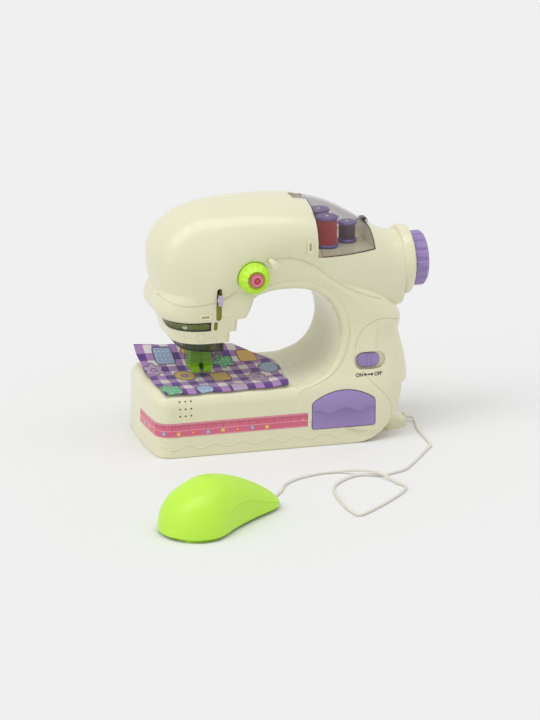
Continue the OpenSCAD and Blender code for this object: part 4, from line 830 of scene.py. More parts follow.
def drawer_outline(grow):
    """Arched outline of the drawer front with its rounded corners, grown outwards."""
    half, small = DRAWER_W / 2 + grow, DRAWER_CORNER + grow
    rise = DRAWER_H - DRAWER_SIDE
    arch = ((DRAWER_W / 2) ** 2 + rise ** 2) / (2 * rise)
    low = DRAWER_H - arch
    corner_x = half - small
    corner_z = low + math.sqrt((arch + grow - small) ** 2 - corner_x ** 2)
    meet = math.degrees(math.atan2(corner_z - low, corner_x))
    foot = DRAWER_FOOT + grow
    rounds = [
        (corner_x, corner_z, small, 0, meet), (0, low, arch + grow, meet, 180 - meet),
        (-corner_x, corner_z, small, 180 - meet, 180),
        (foot - half, DRAWER_FOOT, foot, 180, 270), (half - foot, DRAWER_FOOT, foot, 270, 360),
    ]
    return np.concatenate([
        bend(DRAWER[0] + x, DRAWER[1] + z, r, arc(start, stop, 12)[:-1]) for x, z, r, start, stop in rounds
    ])


def spool_well():
    low, high = (WELL_X[0] - SHAVE, -FAR, TRAY_Z - SHAVE), (WELL_X[1] + SHAVE, FAR, WELL_TOP)
    xs = np.linspace(TONGUE_X - 1, WELL_X[0] + 1, 9)
    side = [(x, pod_top(x) - COVER_T - 1 - SHAVE) for x in xs] + [(xs[-1], WELL_TOP), (xs[0], WELL_TOP)]
    reach, (room_r, room_y) = TONGUE_Y + TONGUE_GAP, KNUCKLE_ROOM
    return [
        block("well", low, high),
        prism_y("notch", side, -reach, reach),
        prism_y("knuckle", disc(HINGE_X, HINGE_Z, room_r), -room_y, room_y),
    ]


def corner_cutter():
    """The part of the front half that is rounded away over the table."""
    curve = [(CORNER_X + CORNER_R * math.sin(a), CORNER_R - CORNER_R * math.cos(a)) for a in arc(0, 90, 32)]
    return prism_y("corner", curve + [(FAR, CORNER_R), (FAR, -2), (CORNER_X, -2)], -FAR, 1)


def switch_pill(grow, y0, y1):
    """Outline of the recess that the switch slides in, as a solid."""
    reach = (SLOT_L - SLOT_H) / 2
    line = stadium((SWITCH[0] - reach, SWITCH[1]), (SWITCH[0] + reach, SWITCH[1]), SLOT_H / 2 + grow, 32)
    return prism_y("recess", line, y0, y1)


def front_openings():
    def slot(a, b, radius, depth):
        return prism_y("slot", stadium(a, b, radius), -FAR, -HALF_B + depth)

    def bore(place, radius, end, steps=48):
        return prism_y("bore", disc(*place, radius, steps), -FAR, end)
    dial = (DIAL[0], DIAL[2])
    tools = [
        switch_pill(0, -FAR, RECESS_Y),
        slot(*[(x, SWITCH[1]) for x in STEM_ROOM], STEM_SLOT_R, STEM_DEPTH),
        slot(*[(TAKE_X, z) for z in TAKE_Z], TAKE_R, SLOT_DEPTH),
        slot(*[(THREAD_X, z) for z in THREAD_Z], THREAD_SLOT_R, SLOT_DEPTH),
        bore(dial, DIAL_D / 2 + DIAL_GAP, DIAL[1] + SHAVE, 72),
        bore(dial, DIAL_BORE_R, 0),
        bore(POST, POST_R, 0),
        prism_y("drawer_hole", drawer_outline(DRAWER_GAP), -FAR, -HALF_D + DRAWER_DEPTH),
        block("window_hole", (-FAR, -FAR, WINDOW_HOLE_Z[0]), (WINDOW_X, WINDOW_HOLE_Y, WINDOW_HOLE_Z[1])),
    ]
    for i in (-1, 0, 1):
        for k in (-1, 0, 1):
            place = (SPEAKER[0] + i * SPEAKER_PITCH[0], SPEAKER[1] + k * SPEAKER_PITCH[1])
            tools.append(bore(place, SOUND_R, -HALF_D + SOUND_DEPTH, 20))
    return tools


def shared_openings():
    wheel = rod((0, 0, SHAFT_Z), (1, 0, 0), WHEEL_BORE_R, HALF_L - 4, FAR, 64)
    return spool_well() + [block("carriage_hole", CARRIAGE_LOW, CARRIAGE_HIGH), wheel]


def copy_of(node):
    """Welded copy of a CAD node's mesh."""
    mesh = frame["nodes"][node].data.copy()
    work = bmesh.new()
    work.from_mesh(mesh)
    bmesh.ops.remove_doubles(work, verts=work.verts, dist=2 * WELD)
    bmesh.ops.triangulate(work, faces=work.faces)
    work.to_mesh(mesh)
    work.free()
    return link(bpy.data.objects.new(node + "_copy", mesh))


def hinge_ear(y0, y1):
    foot = [(WELL_X[1] + 0.2, HINGE_Z - EAR_LOW), (WELL_X[1] + 0.2, HINGE_Z - EAR_FOOT)]
    foot.append((WELL_X[1] + EAR_FOOT, HINGE_Z - EAR_FOOT))
    ear = prism_y("ear", np.concatenate([bend(HINGE_X, HINGE_Z, EAR_R, arc(-60, 180, 20)), foot]), y0, y1)
    return cut(ear, prism_y("pin_bore", disc(HINGE_X, HINGE_Z, EAR_BORE_R), -FAR, FAR))


# Side outline of the back foot, and the place, radius, height and edge of its two rounded pads
FOOT_SIDE = [(92, 0), (92, 12), (110, 12), (118.5, 6), (118.5, 0)]
FOOT_PADS = [((100, -19.5), 8.5, 12, 2.5), ((108.5, -14), 10, 7, 2)]


def rear_foot():
    """Foot of the back half beside the rounded corner, where the cord comes out."""
    points = [(x, y, z) for x, z in FOOT_SIDE for y in (-2, 2)]
    for place, radius, height, edge in FOOT_PADS:
        rings = [(radius, 0)]
        for t in arc(0, 90, 5):
            rings.append((radius - edge * (1 - math.cos(t)), height - edge * (1 - math.sin(t))))
        for r, z in rings:
            points += [(x, y, z) for x, y in disc(*place, r)]
    return hull("rear_foot", points)


SKIN_T = 1.2


def shell(node, low, high, ear):
    """Smooth outer skin of one half, with the inside of its CAD node."""
    cavity = cut(body_form(SKIN_T), copy_of(node))
    form = union(body_form(0), hinge_ear(*ear))
    form = boolean(form, "INTERSECT", block("half", low, high))
    return cut(form, cavity)


def surface_finder(obj):
    """Function that gives the front surface's y at (x, z), in millimetres."""
    tree = BVHTree.FromObject(obj, bpy.context.evaluated_depsgraph_get())

    def find(x, z):
        hit = tree.ray_cast(Vector((x, -100, z)) * MM, Vector((0, 1, 0)))
        return hit[0].y / MM if hit[0] else None
    return find


PILLAR_GROOVE = [
    [(103, 103), (92, 106.5), (81, 106), (71, 100), (65, 91), (62.6, 82)],
    [(68, 62.5), (75, 54), (87, 42), (93.5, 31.5), (94.5, 25), (91, 13.5)],
]
ARM_GROOVE = [
    (-9.5, 167.6), (2.8, 167.5), (15.8, 164), (28.8, 156.6), (41.9, 145.8), (55.5, 137), (72, 129),
    (87, 123.5),
]
RING_GROOVE = [
    [(-106.2, 137.8), (-105.3, 136.8), (-102.9, 135.1), (-98.4, 133), (-91.2, 131.2), (-82.5, 130.5),
     (-72.6, 130.9), (-61.5, 133)],
    [(-54.5, 134.8), (-49, 137), (-42.5, 141)],
]
CIRCLE, CIRCLE_R = (NEEDLE_X - 9, HEAD_Z + 5.6), 4
DASHES, DASH_Z = [(NEEDLE_X - 21.5, NEEDLE_X - 14.5), (NEEDLE_X - 3.5, NEEDLE_X + 3)], HEAD_Z + 5.2
UPRIGHTS, UPRIGHT_Z = (NEEDLE_X - 22.5, NEEDLE_X + 4.6), (HEAD_Z + 1, HEAD_Z + 9)
BEAD_X = (-111, 80)
BEAD_Z, BEAD_WAVE, BEAD_RISE, BEAD_CREST = 9.7, 23.9, 1.95, 7.3
# How far each kind of line lies behind the surface, its radius and its sides
PILLAR_LINE, ARM_LINE, RING_LINE = (0.1, 0.42, 8), (0.1, 0.55, 8), (0, 0.8, 10)
MARK_LINE, UPRIGHT_LINE, BEAD_LINE = (0.05, 0.3, 6), (0.05, 0.25, 6), (0.3, 0.85, 8)


def on_front(find, line, off):
    """Points of an (x, z) line on the front surface, moved off it along Y."""
    found = [(x, find(x, z), z) for x, z in line]
    return [(x, y + off, z) for x, y, z in found if y is not None]


def engrave_front(obj):
    """Fine lines, circle and wavy bead that are moulded into the front half."""
    find = surface_finder(obj)

    def line(points, off, radius, sides):
        return tube("line", on_front(find, points, off), radius, sides)
    lines = [line(through(row, 8), *PILLAR_LINE) for row in PILLAR_GROOVE]
    lines.append(line(through(ARM_GROOVE, 8), *ARM_LINE))
    lines += [line(through(row, 8), *RING_LINE) for row in RING_GROOVE]
    circle = disc(*CIRCLE, CIRCLE_R, 40)
    lines.append(line(np.concatenate([circle, circle[:1]]), *MARK_LINE))
    lines += [line([(x, DASH_Z) for x in np.linspace(*ends, 9)], *MARK_LINE) for ends in DASHES]
    lines += [line([(x, z) for z in np.linspace(*UPRIGHT_Z, 9)], *UPRIGHT_LINE) for x in UPRIGHTS]
    cut(obj, *lines)
    xs = np.linspace(*BEAD_X, 160)
    wave = [(x, BEAD_Z + BEAD_RISE * math.cos(2 * math.pi * (x - BEAD_CREST) / BEAD_WAVE)) for x in xs]
    union(obj, line(wave, *BEAD_LINE))


EAR_Y = (4.4, 6.6)


def make_front_shell():
    form = shell("front_shell", (-FAR, -FAR, 0), (FAR, -SEAM, FAR), (-EAR_Y[1], -EAR_Y[0]))
    union(form, switch_pill(RECESS_WALL, RECESS_Y - 0.5, RECESS_Y + RECESS_T))
    cut(form, *front_openings(), corner_cutter(), *shared_openings())
    engrave_front(form)
    form.name = "front_housing"
    return finish_piece(form, "root", "cream_plastic", "front_shell")


def make_back_shell():
    form = shell("back_shell", (-FAR, SEAM, 0), (FAR, FAR, FAR), EAR_Y)
    union(form, rear_foot())
    seat = SCREW_HEAD_R + 0.42
    cone = [(seat, SCREW_HEAD_Y), (seat, SCREW_HEAD_Y + 1), (SCREW_HEAD_R + 1, HALF_D + 2)]
    sinks = [revolve("sink", cone, (x, 0, z), (0, 1, 0), 32) for x, z in BOSSES]
    bore = rod((0, *EXIT[1:]), (1, 0, 0), CORD_BORE_R, EXIT[0] - CORD_BORE_L, FAR)
    cut(form, *sinks, bore, *shared_openings())
    form.name = "back_housing"
    finish_piece(form, "root", "cream_plastic", "back_shell")


# Window band, lens ring and spool cover
def head_row(z):
    """Head's outline between its two middle rows."""
    low, high = np.array(HEAD_LOW[2]), np.array(HEAD_LOW[3])
    return low + (high - low) * (z - HEAD_Z - low[0]) / (high[0] - low[0])


WINDOW_Z, WINDOW_IN, WINDOW_Y = (HEAD_Z + 11.8, HEAD_Z + 19.2), (0.7, 2.2), -14.3
WINDOW_BORDER = 1.6


def make_window():
    (low, high), (outer, inner) = WINDOW_Z, WINDOW_IN
    bands = []
    for z, inset in ((low, outer), (high, outer), (high, inner), (low, inner)):
        row = head_row(z)
        left, y_half, radius = NEEDLE_X + row[1] + inset, HALF_B + row[3] - inset, row[4] - inset
        turn = arc(90, 0, 30)
        curve = columns(left + radius * (1 - np.cos(turn)), radius - y_half - radius * np.sin(turn))
        line = np.concatenate([[(WINDOW_X - 0.3, -y_half)], curve, [(left, WINDOW_Y)]])
        bands.append(columns(*line.T, z))
    window = skin("window_band", [[band[i] for band in bands] for i in range(len(bands[0]))])
    # The pane's tint is partly its own smoky colour and partly painted light, lighter than the smoke plastic
    # to stand in for the lit inside seen through it
    look = smoke_finish("window_smoke_painted_light", linear(138, 148, 86), 0.4, low, high, WINDOW_X - WINDOW_BORDER)
    finish_piece(window, "root", "smoke_plastic", "head_window", look)


LENS_ROW = (0, -24, 12.1, -4, 28)
LENS_H, LENS_T, LENS_BORDER = 8, 2.6, 4
SEAT_GAP = 0.05


def make_lens():
    tall = [(HEAD_Z - LENS_H, 0.5), (HEAD_Z - LENS_H + 0.5, 0), (HEAD_Z - SEAT_GAP, 0)]
    lens = skin("lens_ring", [head_loop(LENS_ROW, inset, z, 10) for z, inset in tall])
    hole = [head_loop(LENS_ROW, LENS_T, z, 10) for z in (HEAD_Z - LENS_H - 1, HEAD_Z + 1)]
    cut(lens, skin("lens_hole", hole))
    right = NEEDLE_X + LENS_ROW[2] - LENS_BORDER
    look = smoke_finish("lens_smoke", linear(66, 64, 46), 0.6, HEAD_Z - LENS_H, HEAD_Z, right)
    finish_piece(lens, "root", "smoke_plastic", "head_lens", look)


FOOT_Z = BED_H + 5
SOLE_X, SOLE_SIDE = 10, [(-10, 1.2), (-9, 0), (7, 0), (9, 3), (7, 7), (-6.5, 7.6), (-9.6, 6)]
TOE_GAP = [(-2.6, 8), (2.6, 8), (1.1, -1), (-1.1, -1)]
TOE_CHAMFER = [(10.1, 5.5), (10.1, -1), (7, -1)]
LEGS, LEG_W, LEG_Y = (-5.9, 2.9), 3, 4.1
FOOT_BLOCK, FOOT_BLOCK_Z = (-9, -7, 5, 9, 7), HEAD_Z - 12.2
PARTING, LEG_Z = (-0.4, -8, 7, 0.4, -6.4), HEAD_Z - 4.2
NEEDLE_BORE_R = 2.2


def make_foot():
    """Presser foot with two toes that part towards the needle."""
    def at(points, side=1):
        return [(NEEDLE_X + side * x, FOOT_Z + z) for x, z in points]

    def bar(x0, y0, z0, x1, y1, top):
        return block("bar", (NEEDLE_X + x0, y0, FOOT_Z + z0), (NEEDLE_X + x1, y1, top))
    sole = [[(NEEDLE_X + x, y, FOOT_Z + z) for y, z in SOLE_SIDE] for x in (-SOLE_X, SOLE_X)]
    foot = skin("pressing_foot", sole)
    union(foot, bar(*FOOT_BLOCK, FOOT_BLOCK_Z))
    for x in LEGS:
        union(foot, bar(x, -LEG_Y, 6, x + LEG_W, LEG_Y, LEG_Z))
    tools = [prism_y("gap", at(TOE_GAP), -FAR, 3)]
    tools += [prism_y("chamfer", at(TOE_CHAMFER, side), -FAR, FAR) for side in (-1, 1)]
    tools.append(bar(*PARTING, HEAD_Z))
    tools.append(rod((NEEDLE_X, 0, 0), (0, 0, 1), NEEDLE_BORE_R, 0, FAR))
    cut(foot, *tools)
    finish_piece(foot, "carriage", "lime_plastic", "presser_foot", foot_lime)


GUARD_X = (NEEDLE_X - 17.5, NEEDLE_X + 15)
GUARD_Y = (-19, -17)
GUARD_Z = FOOT_Z + 12
GUARD_BAR, GUARD_R = 2.4, 4


def make_guard():
    """Clear finger guard: a thin pane in a thicker border."""
    def outline(inset):
        radius = GUARD_R - inset
        (x0, x1), z0 = GUARD_X, GUARD_Z + GUARD_R
        left = [(x0 + GUARD_R - radius * math.cos(t), z0 - radius * math.sin(t)) for t in arc(0, 90, 10)]
        right = [(x1 - GUARD_R + radius * math.sin(t), z0 - radius * math.cos(t)) for t in arc(0, 90, 10)]
        top = HEAD_Z - SEAT_GAP + inset
        return [(x0 + inset, top)] + left + right + [(x1 - inset, top)]
    guard = prism_y("clear_guard", outline(0), *GUARD_Y)
    cut(guard, prism_y("dip", outline(GUARD_BAR), GUARD_Y[0] - 1, GUARD_Y[1] - 0.7))
    finish_piece(guard, "root", "clear_plastic", "finger_guard", guard_clear)


COVER_X = (WELL_X[0] + 1, WELL_X[1] - 0.4)
COVER_Z = TRAY_Z + 0.4
COVER_BORE_R, COVER_RIM = 1.4, 6
KNUCKLE_R, KNUCKLE_Y, KNUCKLE_ROOT = 2.4, 4, 4
GRIP_R, GRIP_RISE = 1, 0.8


def cover_arc(x, inset, sides):
    low = SHAFT_Z + pod_value(x, 2) + inset
    rise = (pod_top(x) - inset - low) / 2
    start = math.asin(signed_pow((COVER_Z - low - rise) / rise, POD_POWER / 2))
    return pod_section(x, inset, start + (math.pi - 2 * start) * np.arange(sides + 1) / sides)


def make_cover():
    cover = skin("clear_cover", [
        np.concatenate([cover_arc(x, 0, 60), cover_arc(x, COVER_T, 60)[::-1]])
        for x in np.linspace(*COVER_X, 30)
    ])
    keep = prism_y("sweep", disc(HINGE_X, HINGE_Z, HINGE_X - COVER_X[0], 360), -FAR, FAR)
    boolean(cover, "INTERSECT", union(keep, above(HINGE_Z)))
    tongue = skin("tongue", [
        [(x, -TONGUE_Y, top - COVER_T), (x, TONGUE_Y, top - COVER_T), (x, TONGUE_Y, top), (x, -TONGUE_Y, top)]
        for x in np.linspace(TONGUE_X, COVER_X[0] + 2, 14) for top in [pod_top(x)]
    ])
    root_x = HINGE_X - KNUCKLE_ROOT
    side = list(disc(HINGE_X, HINGE_Z, KNUCKLE_R)) + [(root_x, pod_top(root_x) - t) for t in (COVER_T, 0)]
    knuckle = hull("knuckle", [(x, y, z) for x, z in side for y in (-KNUCKLE_Y, KNUCKLE_Y)])
    foot = pod_top(TONGUE_X) - COVER_T
    grip = hull("grip", [
        (x, y, z) for far in (GRIP_R - TONGUE_Y, TONGUE_Y - GRIP_R)
        for x, y in disc(TONGUE_X + GRIP_R, far, GRIP_R, 16) for z in (foot, foot + COVER_T + GRIP_RISE)
    ])
    union(cover, tongue, knuckle, grip)
    cut(cover, prism_y("pin_bore", disc(HINGE_X, HINGE_Z, COVER_BORE_R), -FAR, FAR))
    finish_piece(cover, "cover", "clear_plastic", "spool_cover", cover_clear)
    cover.data.materials.append(cover_edge)
    for face in cover.data.polygons:
        x, y, z = cover.matrix_world @ face.center / MM
        rim = x < COVER_X[0] + COVER_RIM and face.normal.x < -0.6 and abs(y) > TONGUE_Y
        sill = face.normal.z < -0.97 and z < COVER_Z + 1
        hinge = x > HINGE_X - KNUCKLE_ROOT + 0.4 and abs(y) < KNUCKLE_Y + 0.1
        if rim or sill or hinge:
            face.material_index = 1


# Spools' thread
SPOOL_Z = TRAY_Z + 0.15
SPOOL_FLANGE = 3
SPOOLS = [
    ("front", (46, -15), 20, 27.5, "red_thread"),
    ("rear", (46, 11.5), 20, 27.5, "red_thread"),
    ("side", (67.5, -3), 16.5, 18.5, "purple_thread"),
]
THREAD_R, THREAD_PITCH, THREAD_STEPS = 0.26, 0.5, 36
THREAD_GAP, THREAD_IN, CORE_OVER, SPOOL_BORE_R = 0.3, 1.3, 0.2, 4.55
# Loose strands over the turns: start and sweep in degrees, and the heights of both ends as shares
STRAND_R, STRAND_OUT = 0.16, 0.42
STRANDS = [
    (200, 80, 0.1, 0.85), (255, 70, 0.7, 0.2), (310, -95, 0.05, 0.6), (20, 90, 0.2, 0.9),
    (120, -80, 0.15, 0.75), (235, 60, 0.35, 0.95), (165, 100, 0.9, 0.4),
]


def make_thread(name, place, diameter, height, slot):
    low = SPOOL_Z + SPOOL_FLANGE + THREAD_GAP
    high = SPOOL_Z + height - SPOOL_FLANGE - THREAD_GAP
    radius = diameter / 2 - THREAD_IN
    count = int((high - low - 2 * THREAD_R) / THREAD_PITCH)
    turn = 2 * np.pi * np.arange(THREAD_STEPS * count + 1) / THREAD_STEPS
    rise = low + THREAD_R + THREAD_PITCH * turn / (2 * np.pi)
    bulge = radius + 0.12 * np.sin(turn * 0.37) + 0.08 * np.sin(turn * 0.113 + 1)
    pieces = [tube("turns", columns(*bend(*place, bulge, turn).T, rise), THREAD_R, 6)]
    foot, up = (*place, 0), (0, 0, 1)
    core = rod(foot, up, radius, low - CORE_OVER, high + CORE_OVER, 48)
    pieces.append(cut(core, rod(foot, up, SPOOL_BORE_R, 0, FAR)))
    share = np.linspace(0, 1, 24)
    for start, sweep, z0, z1 in STRANDS:
        out = radius + STRAND_OUT + 0.05 * np.sin(9 * share)
        line = bend(*place, out, np.radians(start + sweep * share))
        strand = columns(*line.T, low + (high - low) * (z0 + (z1 - z0) * share))
        pieces.append(tube("strand", strand, STRAND_R, 6))
    thread = join("wound_" + name, pieces)
    finish_piece(thread, name + "_spool", slot, "thread_" + name, angle=50)


# Tension dial
DIAL_PETALS = 12
DIAL_T = 6
DIAL_BACK = DIAL[1] - 0.4


PETAL_R, PETAL_DIP, PETAL_RISE = 12.5, 0.9, 6
HUB_R, HUB_SLOPE, HUB_RISE = 8, 1.2, 4
CENTRE_R = 0.01
DIAL_STEM_R, DIAL_STEM_L = 3, 7


def make_dial():
    angles = full_turn(288)
    wave = np.abs(np.cos(DIAL_PETALS / 2 * angles))
    edge = PETAL_R - PETAL_DIP * (1 - wave ** 0.7)

    def loop(r, height):
        return columns(DIAL[0] + r * np.cos(angles), DIAL_BACK - height, DIAL[2] + r * np.sin(angles))
    face = np.concatenate([np.linspace(5.5, 6.6, 3), np.linspace(6.9, 12.9, 31)])
    loops = []
    for r in [CENTRE_R, *face, *(PETAL_R + np.sin(arc(20, 90, 6)))]:
        climb = np.clip((edge - r) / (edge - HUB_R), 0, 1)
        petal = PETAL_RISE * climb ** 0.72 * (0.88 + 0.12 * wave ** 0.5)
        hub = np.clip((HUB_R - r) / HUB_SLOPE, 0, 1)
        rim = 1 - math.cos(math.asin(min(max(r - PETAL_R, 0), 1)))
        loops.append(loop(r, DIAL_T - rim + petal * (1 - hub) + np.minimum(petal, HUB_RISE) * hub))
    dial = skin("dial_flower", loops + [loop(r, 0) for r in (DIAL_D / 2, CENTRE_R)])
    union(dial, prism_y("stem", disc(DIAL[0], DIAL[2], DIAL_STEM_R), DIAL_BACK - 1, DIAL[1] + DIAL_STEM_L))
    finish_piece(dial, "dial", "lime_plastic", "tension_dial", dial_lime, 35)


# Drawer
DRAWER_FRONT = -HALF_D - 0.3
FRONT_T, TRAY_SIDE, TRAY_H, DRAWER_L, DRAWER_T = 3, 3.5, 17, 46, 1.8
LIP_Z, LIP_WAVE, LIP_RISE = 16.6, 27, 2.2
HOOD_OUT, HOOD_R, HOOD_BACK = 3.6, 27, 1.4
PANEL_T, PANEL_SLANT, PANEL_OVER, PLATE_IN = 1.6, 1, 3, 1.2


def make_drawer():
    half = DRAWER_W / 2
    xs = np.linspace(-0.75 * LIP_WAVE, 0.75 * LIP_WAVE, 49)
    lip = [(x, LIP_Z + LIP_RISE * math.cos(2 * math.pi * x / LIP_WAVE)) for x in xs]
    lip = [(-half - 1, LIP_Z)] + lip + [(half + 1, LIP_Z)]
    lip += [(half + 1, DRAWER_H + 1), (-half - 1, DRAWER_H + 1)]
    hood = prism_y("hood", np.array(lip) + DRAWER, DRAWER_FRONT + HOOD_BACK, DRAWER_FRONT - HOOD_OUT - 2)
    swell = [(HOOD_R - (HOOD_OUT - 0.2) * (x / half) ** 2, x) for x in np.linspace(-half - 1, half + 1, 57)]
    middle = (DRAWER[0], DRAWER_FRONT - HOOD_OUT + HOOD_R, DRAWER[1] + LIP_Z + 4)
    boolean(hood, "INTERSECT", revolve("dome", swell, middle, (1, 0, 0), 240))
    x0, x1 = DRAWER[0] - half, DRAWER[0] + half
    top = LIP_Z + PANEL_OVER
    side = [(PANEL_T, -1), (0, -1), (PANEL_SLANT, top), (PANEL_T, top)]
    panel = skin("panel", [
        [(x, DRAWER_FRONT + y, DRAWER[1] + z) for y, z in side] for x in (x0 - 1, x1 + 1)
    ])
    drawer = prism_y("drawer_box", drawer_outline(0.5), DRAWER_FRONT + FRONT_T, DRAWER_FRONT + PLATE_IN)
    union(drawer, hood, panel)
    boolean(drawer, "INTERSECT", prism_y("edge", drawer_outline(0), -FAR, 0))
    low = (x0 + TRAY_SIDE, DRAWER_FRONT + 1, DRAWER[1] + 1)
    high = (x1 - TRAY_SIDE, DRAWER_FRONT + DRAWER_L, DRAWER[1] + TRAY_H)
    room_low = (low[0] + DRAWER_T, DRAWER_FRONT + FRONT_T, low[2] + DRAWER_T)
    room_high = (high[0] - DRAWER_T, high[1] - DRAWER_T, high[2] + 1)
    union(drawer, cut(block("tray", low, high), block("room", room_low, room_high)))
    finish_piece(drawer, "drawer_tray", "purple_plastic", "drawer", angle=30)


# Switch
BUTTON_Y, FLANGE_Y = -HALF_B - 1.4, -HALF_B + 7.5
BUTTON_EDGE = 1.6
RIB, RIB_IN = [(-1.4, 1), (-1.4, -0.35), (-1.05, -0.7), (1.05, -0.7), (1.4, -0.35), (1.4, 1)], 0.8
FLANGE_LEFT, FLANGE_RIGHT, FLANGE_T = 5.8, 2.2, 1.4
BUTTON_STEM, BUTTON_STEM_L = 1.2, 4.5


def make_switch():
    rows = [(0, RECESS_Y - 0.2)]
    for t in arc(0, 90, 8):
        rows.append((BUTTON_EDGE * (1 - math.cos(t)), BUTTON_Y + BUTTON_EDGE * (1 - math.sin(t))))
    (middle, level), tall, reach = SWITCH, BUTTON_H / 2, (BUTTON_L - BUTTON_H) / 2
    loops = []
    for inset, y in rows:
        line = stadium((BUTTON_X - reach, level), (BUTTON_X + reach, level), tall - inset, 24)
        loops.append([(x, y, z) for x, z in line])
    button = skin("switch_pill", loops)
    ends = (RIB_IN - tall, tall - RIB_IN)
    rib = skin("rib", [[(BUTTON_X + x, BUTTON_Y + y, level + z) for x, y in RIB] for z in ends])
    left, right = middle - SLOT_L / 2 - FLANGE_LEFT, middle + SLOT_L / 2 + FLANGE_RIGHT
    side = SLOT_H / 2 + 1
    flange = block("flange", (left, FLANGE_Y, level - side), (right, FLANGE_Y + FLANGE_T, level + side))
    low = (BUTTON_X - BUTTON_STEM, RECESS_Y - 1, level - BUTTON_STEM)
    high = (BUTTON_X + BUTTON_STEM, FLANGE_Y + BUTTON_STEM_L, level + BUTTON_STEM)
    union(button, rib, flange, block("stem", low, high))
    finish_piece(button, "switch_button", "purple_plastic", "switch_slider", angle=30)


# Pedal, in its own frame with the nose along +X
PEDAL_PLACE = np.array([-121, -235])
PEDAL_TURN = math.radians(31.7)
PEDAL_R, PEDAL_L, PEDAL_H = 30.5, 84, 43.5
PEDAL_POWER = 2.5
SKIRT_Z = 3
FLANK_START, FLANK_LEAST = -14, 0.3
# Place along the pedal, half width, height and half width of the waist
HEEL_X = -PEDAL_R - 8.1
PEDAL_ROWS = [
    (HEEL_X, 6, 9, 6), (-PEDAL_R - 6.6, 12, 16, 12), (-PEDAL_R - 3, 19.2, PEDAL_H - 19, 19.2),
    (-PEDAL_R + 3, PEDAL_R - 5, PEDAL_H - 11.5, PEDAL_R),
    (-PEDAL_R + 10.5, PEDAL_R - 1.2, PEDAL_H - 6.8, PEDAL_R),
    (-12, PEDAL_R, PEDAL_H - 3.8, PEDAL_R), (-3, PEDAL_R - 1.2, PEDAL_H - 1, PEDAL_R - 1.7),
    (6, PEDAL_R - 3, PEDAL_H, PEDAL_R - 4.6), (19, PEDAL_R - 5.9, PEDAL_H - 2, PEDAL_R - 8.2),
    (32, 22.2, PEDAL_H - 6, 19.9), (46, 19.4, PEDAL_H - 12, 17.6), (61, 17.2, PEDAL_H - 20, 16.2),
    (PEDAL_L - 11, 14.6, PEDAL_H - 28, 14), (PEDAL_L - 3.5, 9.5, PEDAL_H - 34.5, 9.2),
    (PEDAL_L, 6, PEDAL_H - 37.7, 6),
]
HEEL_TIP = [(HEEL_X - 1, 1.2, 4.2, 6), (HEEL_X - 0.7, 3.6, 6.5, 6)]
NOSE_TIP = [(PEDAL_L + 0.8, 4, 5, 6), (PEDAL_L + 1.2, 1.6, 3.8, 6)]


def at_pedal(points):
    """Points of the pedal's frame in the machine's frame."""
    u, v, z = np.array(points, float).T
    c, s = math.cos(PEDAL_TURN), math.sin(PEDAL_TURN)
    return columns(PEDAL_PLACE[0] + (c * u - s * v), PEDAL_PLACE[1] + (s * u + c * v), z)


def pedal_form(inset, low, rows, sides):
    loops = []
    turn = arc(0, 180, sides)
    for place, half, height, waist in rows:
        v = (half - inset) * signed_pow(np.cos(turn), 2 / PEDAL_POWER)
        v = np.clip(v, inset - waist, waist - inset)
        loops.append(at_pedal(columns(place, v, low + (height - inset - low) * np.sin(turn))))
    return skin("pedal_form", loops)


def flank_line(rows, side):
    """Line along which the pedal's back turns into one of its hollow flanks."""
    line = []
    for place, half, height, waist in rows:
        if place > FLANK_START and waist < half - FLANK_LEAST:
            turn = math.acos((waist / half) ** (PEDAL_POWER / 2))
            line.append((place, side * waist, SKIRT_Z + (height - SKIRT_Z) * math.sin(turn)))
    return at_pedal(line)


FLANK_R = 0.35


def make_pedal():
    rows = np.concatenate([HEEL_TIP, through(PEDAL_ROWS, 9), NOSE_TIP])
    hollow = cut(pedal_form(SKIN_T, SKIRT_Z - 1, PEDAL_ROWS[1:-1], 24), copy_of("pedal_cover"))
    cover = cut(pedal_form(0, SKIRT_Z, rows, 120), hollow)
    cut(cover, *[tube("flank", flank_line(rows, side), FLANK_R, 8) for side in (-1, 1)])
    cover.name = "pedal_shell"
    finish_piece(cover, "pedal_top", "lime_plastic", "pedal_cover", angle=22)


SPRING_R, SPRING_TURNS, SPRING_WIRE_R = 5, 4, 0.6
SPRING_Z, SPRING_H = 5, 15.9


def make_spring():
    share = np.linspace(0, 1, 161)
    coil = bend(0, 0, SPRING_R, 2 * np.pi * SPRING_TURNS * share)
    path = at_pedal(columns(*coil.T, SPRING_Z + SPRING_H * share))
    spring = tube("return_spring", path, SPRING_WIRE_R, 12)
    finish_piece(spring, "root", "steel", "pedal_spring")
    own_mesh(spring)


# Cloth on the bed
CLOTH_T = 0.6
CLOTH_FRONT, CLOTH_BACK = -HALF_D + 4.5, 52
CLOTH_LEFT, CLOTH_SLANT = NEEDLE_X - 42.5, 2.5
CLOTH_COUNT = 121
CURL_START, CURL_H, CURL_FALL = 0.62, 15, 7
PRESSED_R, PRESSED_FADE = 16, 20


def lay_flat(obj, flat, thickness):
    """Keeps a sheet's flat layout for its print, then gives it its thickness, in millimetres."""
    layer = obj.data.uv_layers.new(name="flat")
    corners = np.empty(len(obj.data.loops), int)
    obj.data.loops.foreach_get("vertex_index", corners)
    layer.data.foreach_set("uv", (flat * MM)[corners].ravel())
    thick = obj.modifiers.new("thick", "SOLIDIFY")
    thick.thickness = thickness * MM
    thick.offset = -1
    bake(obj)


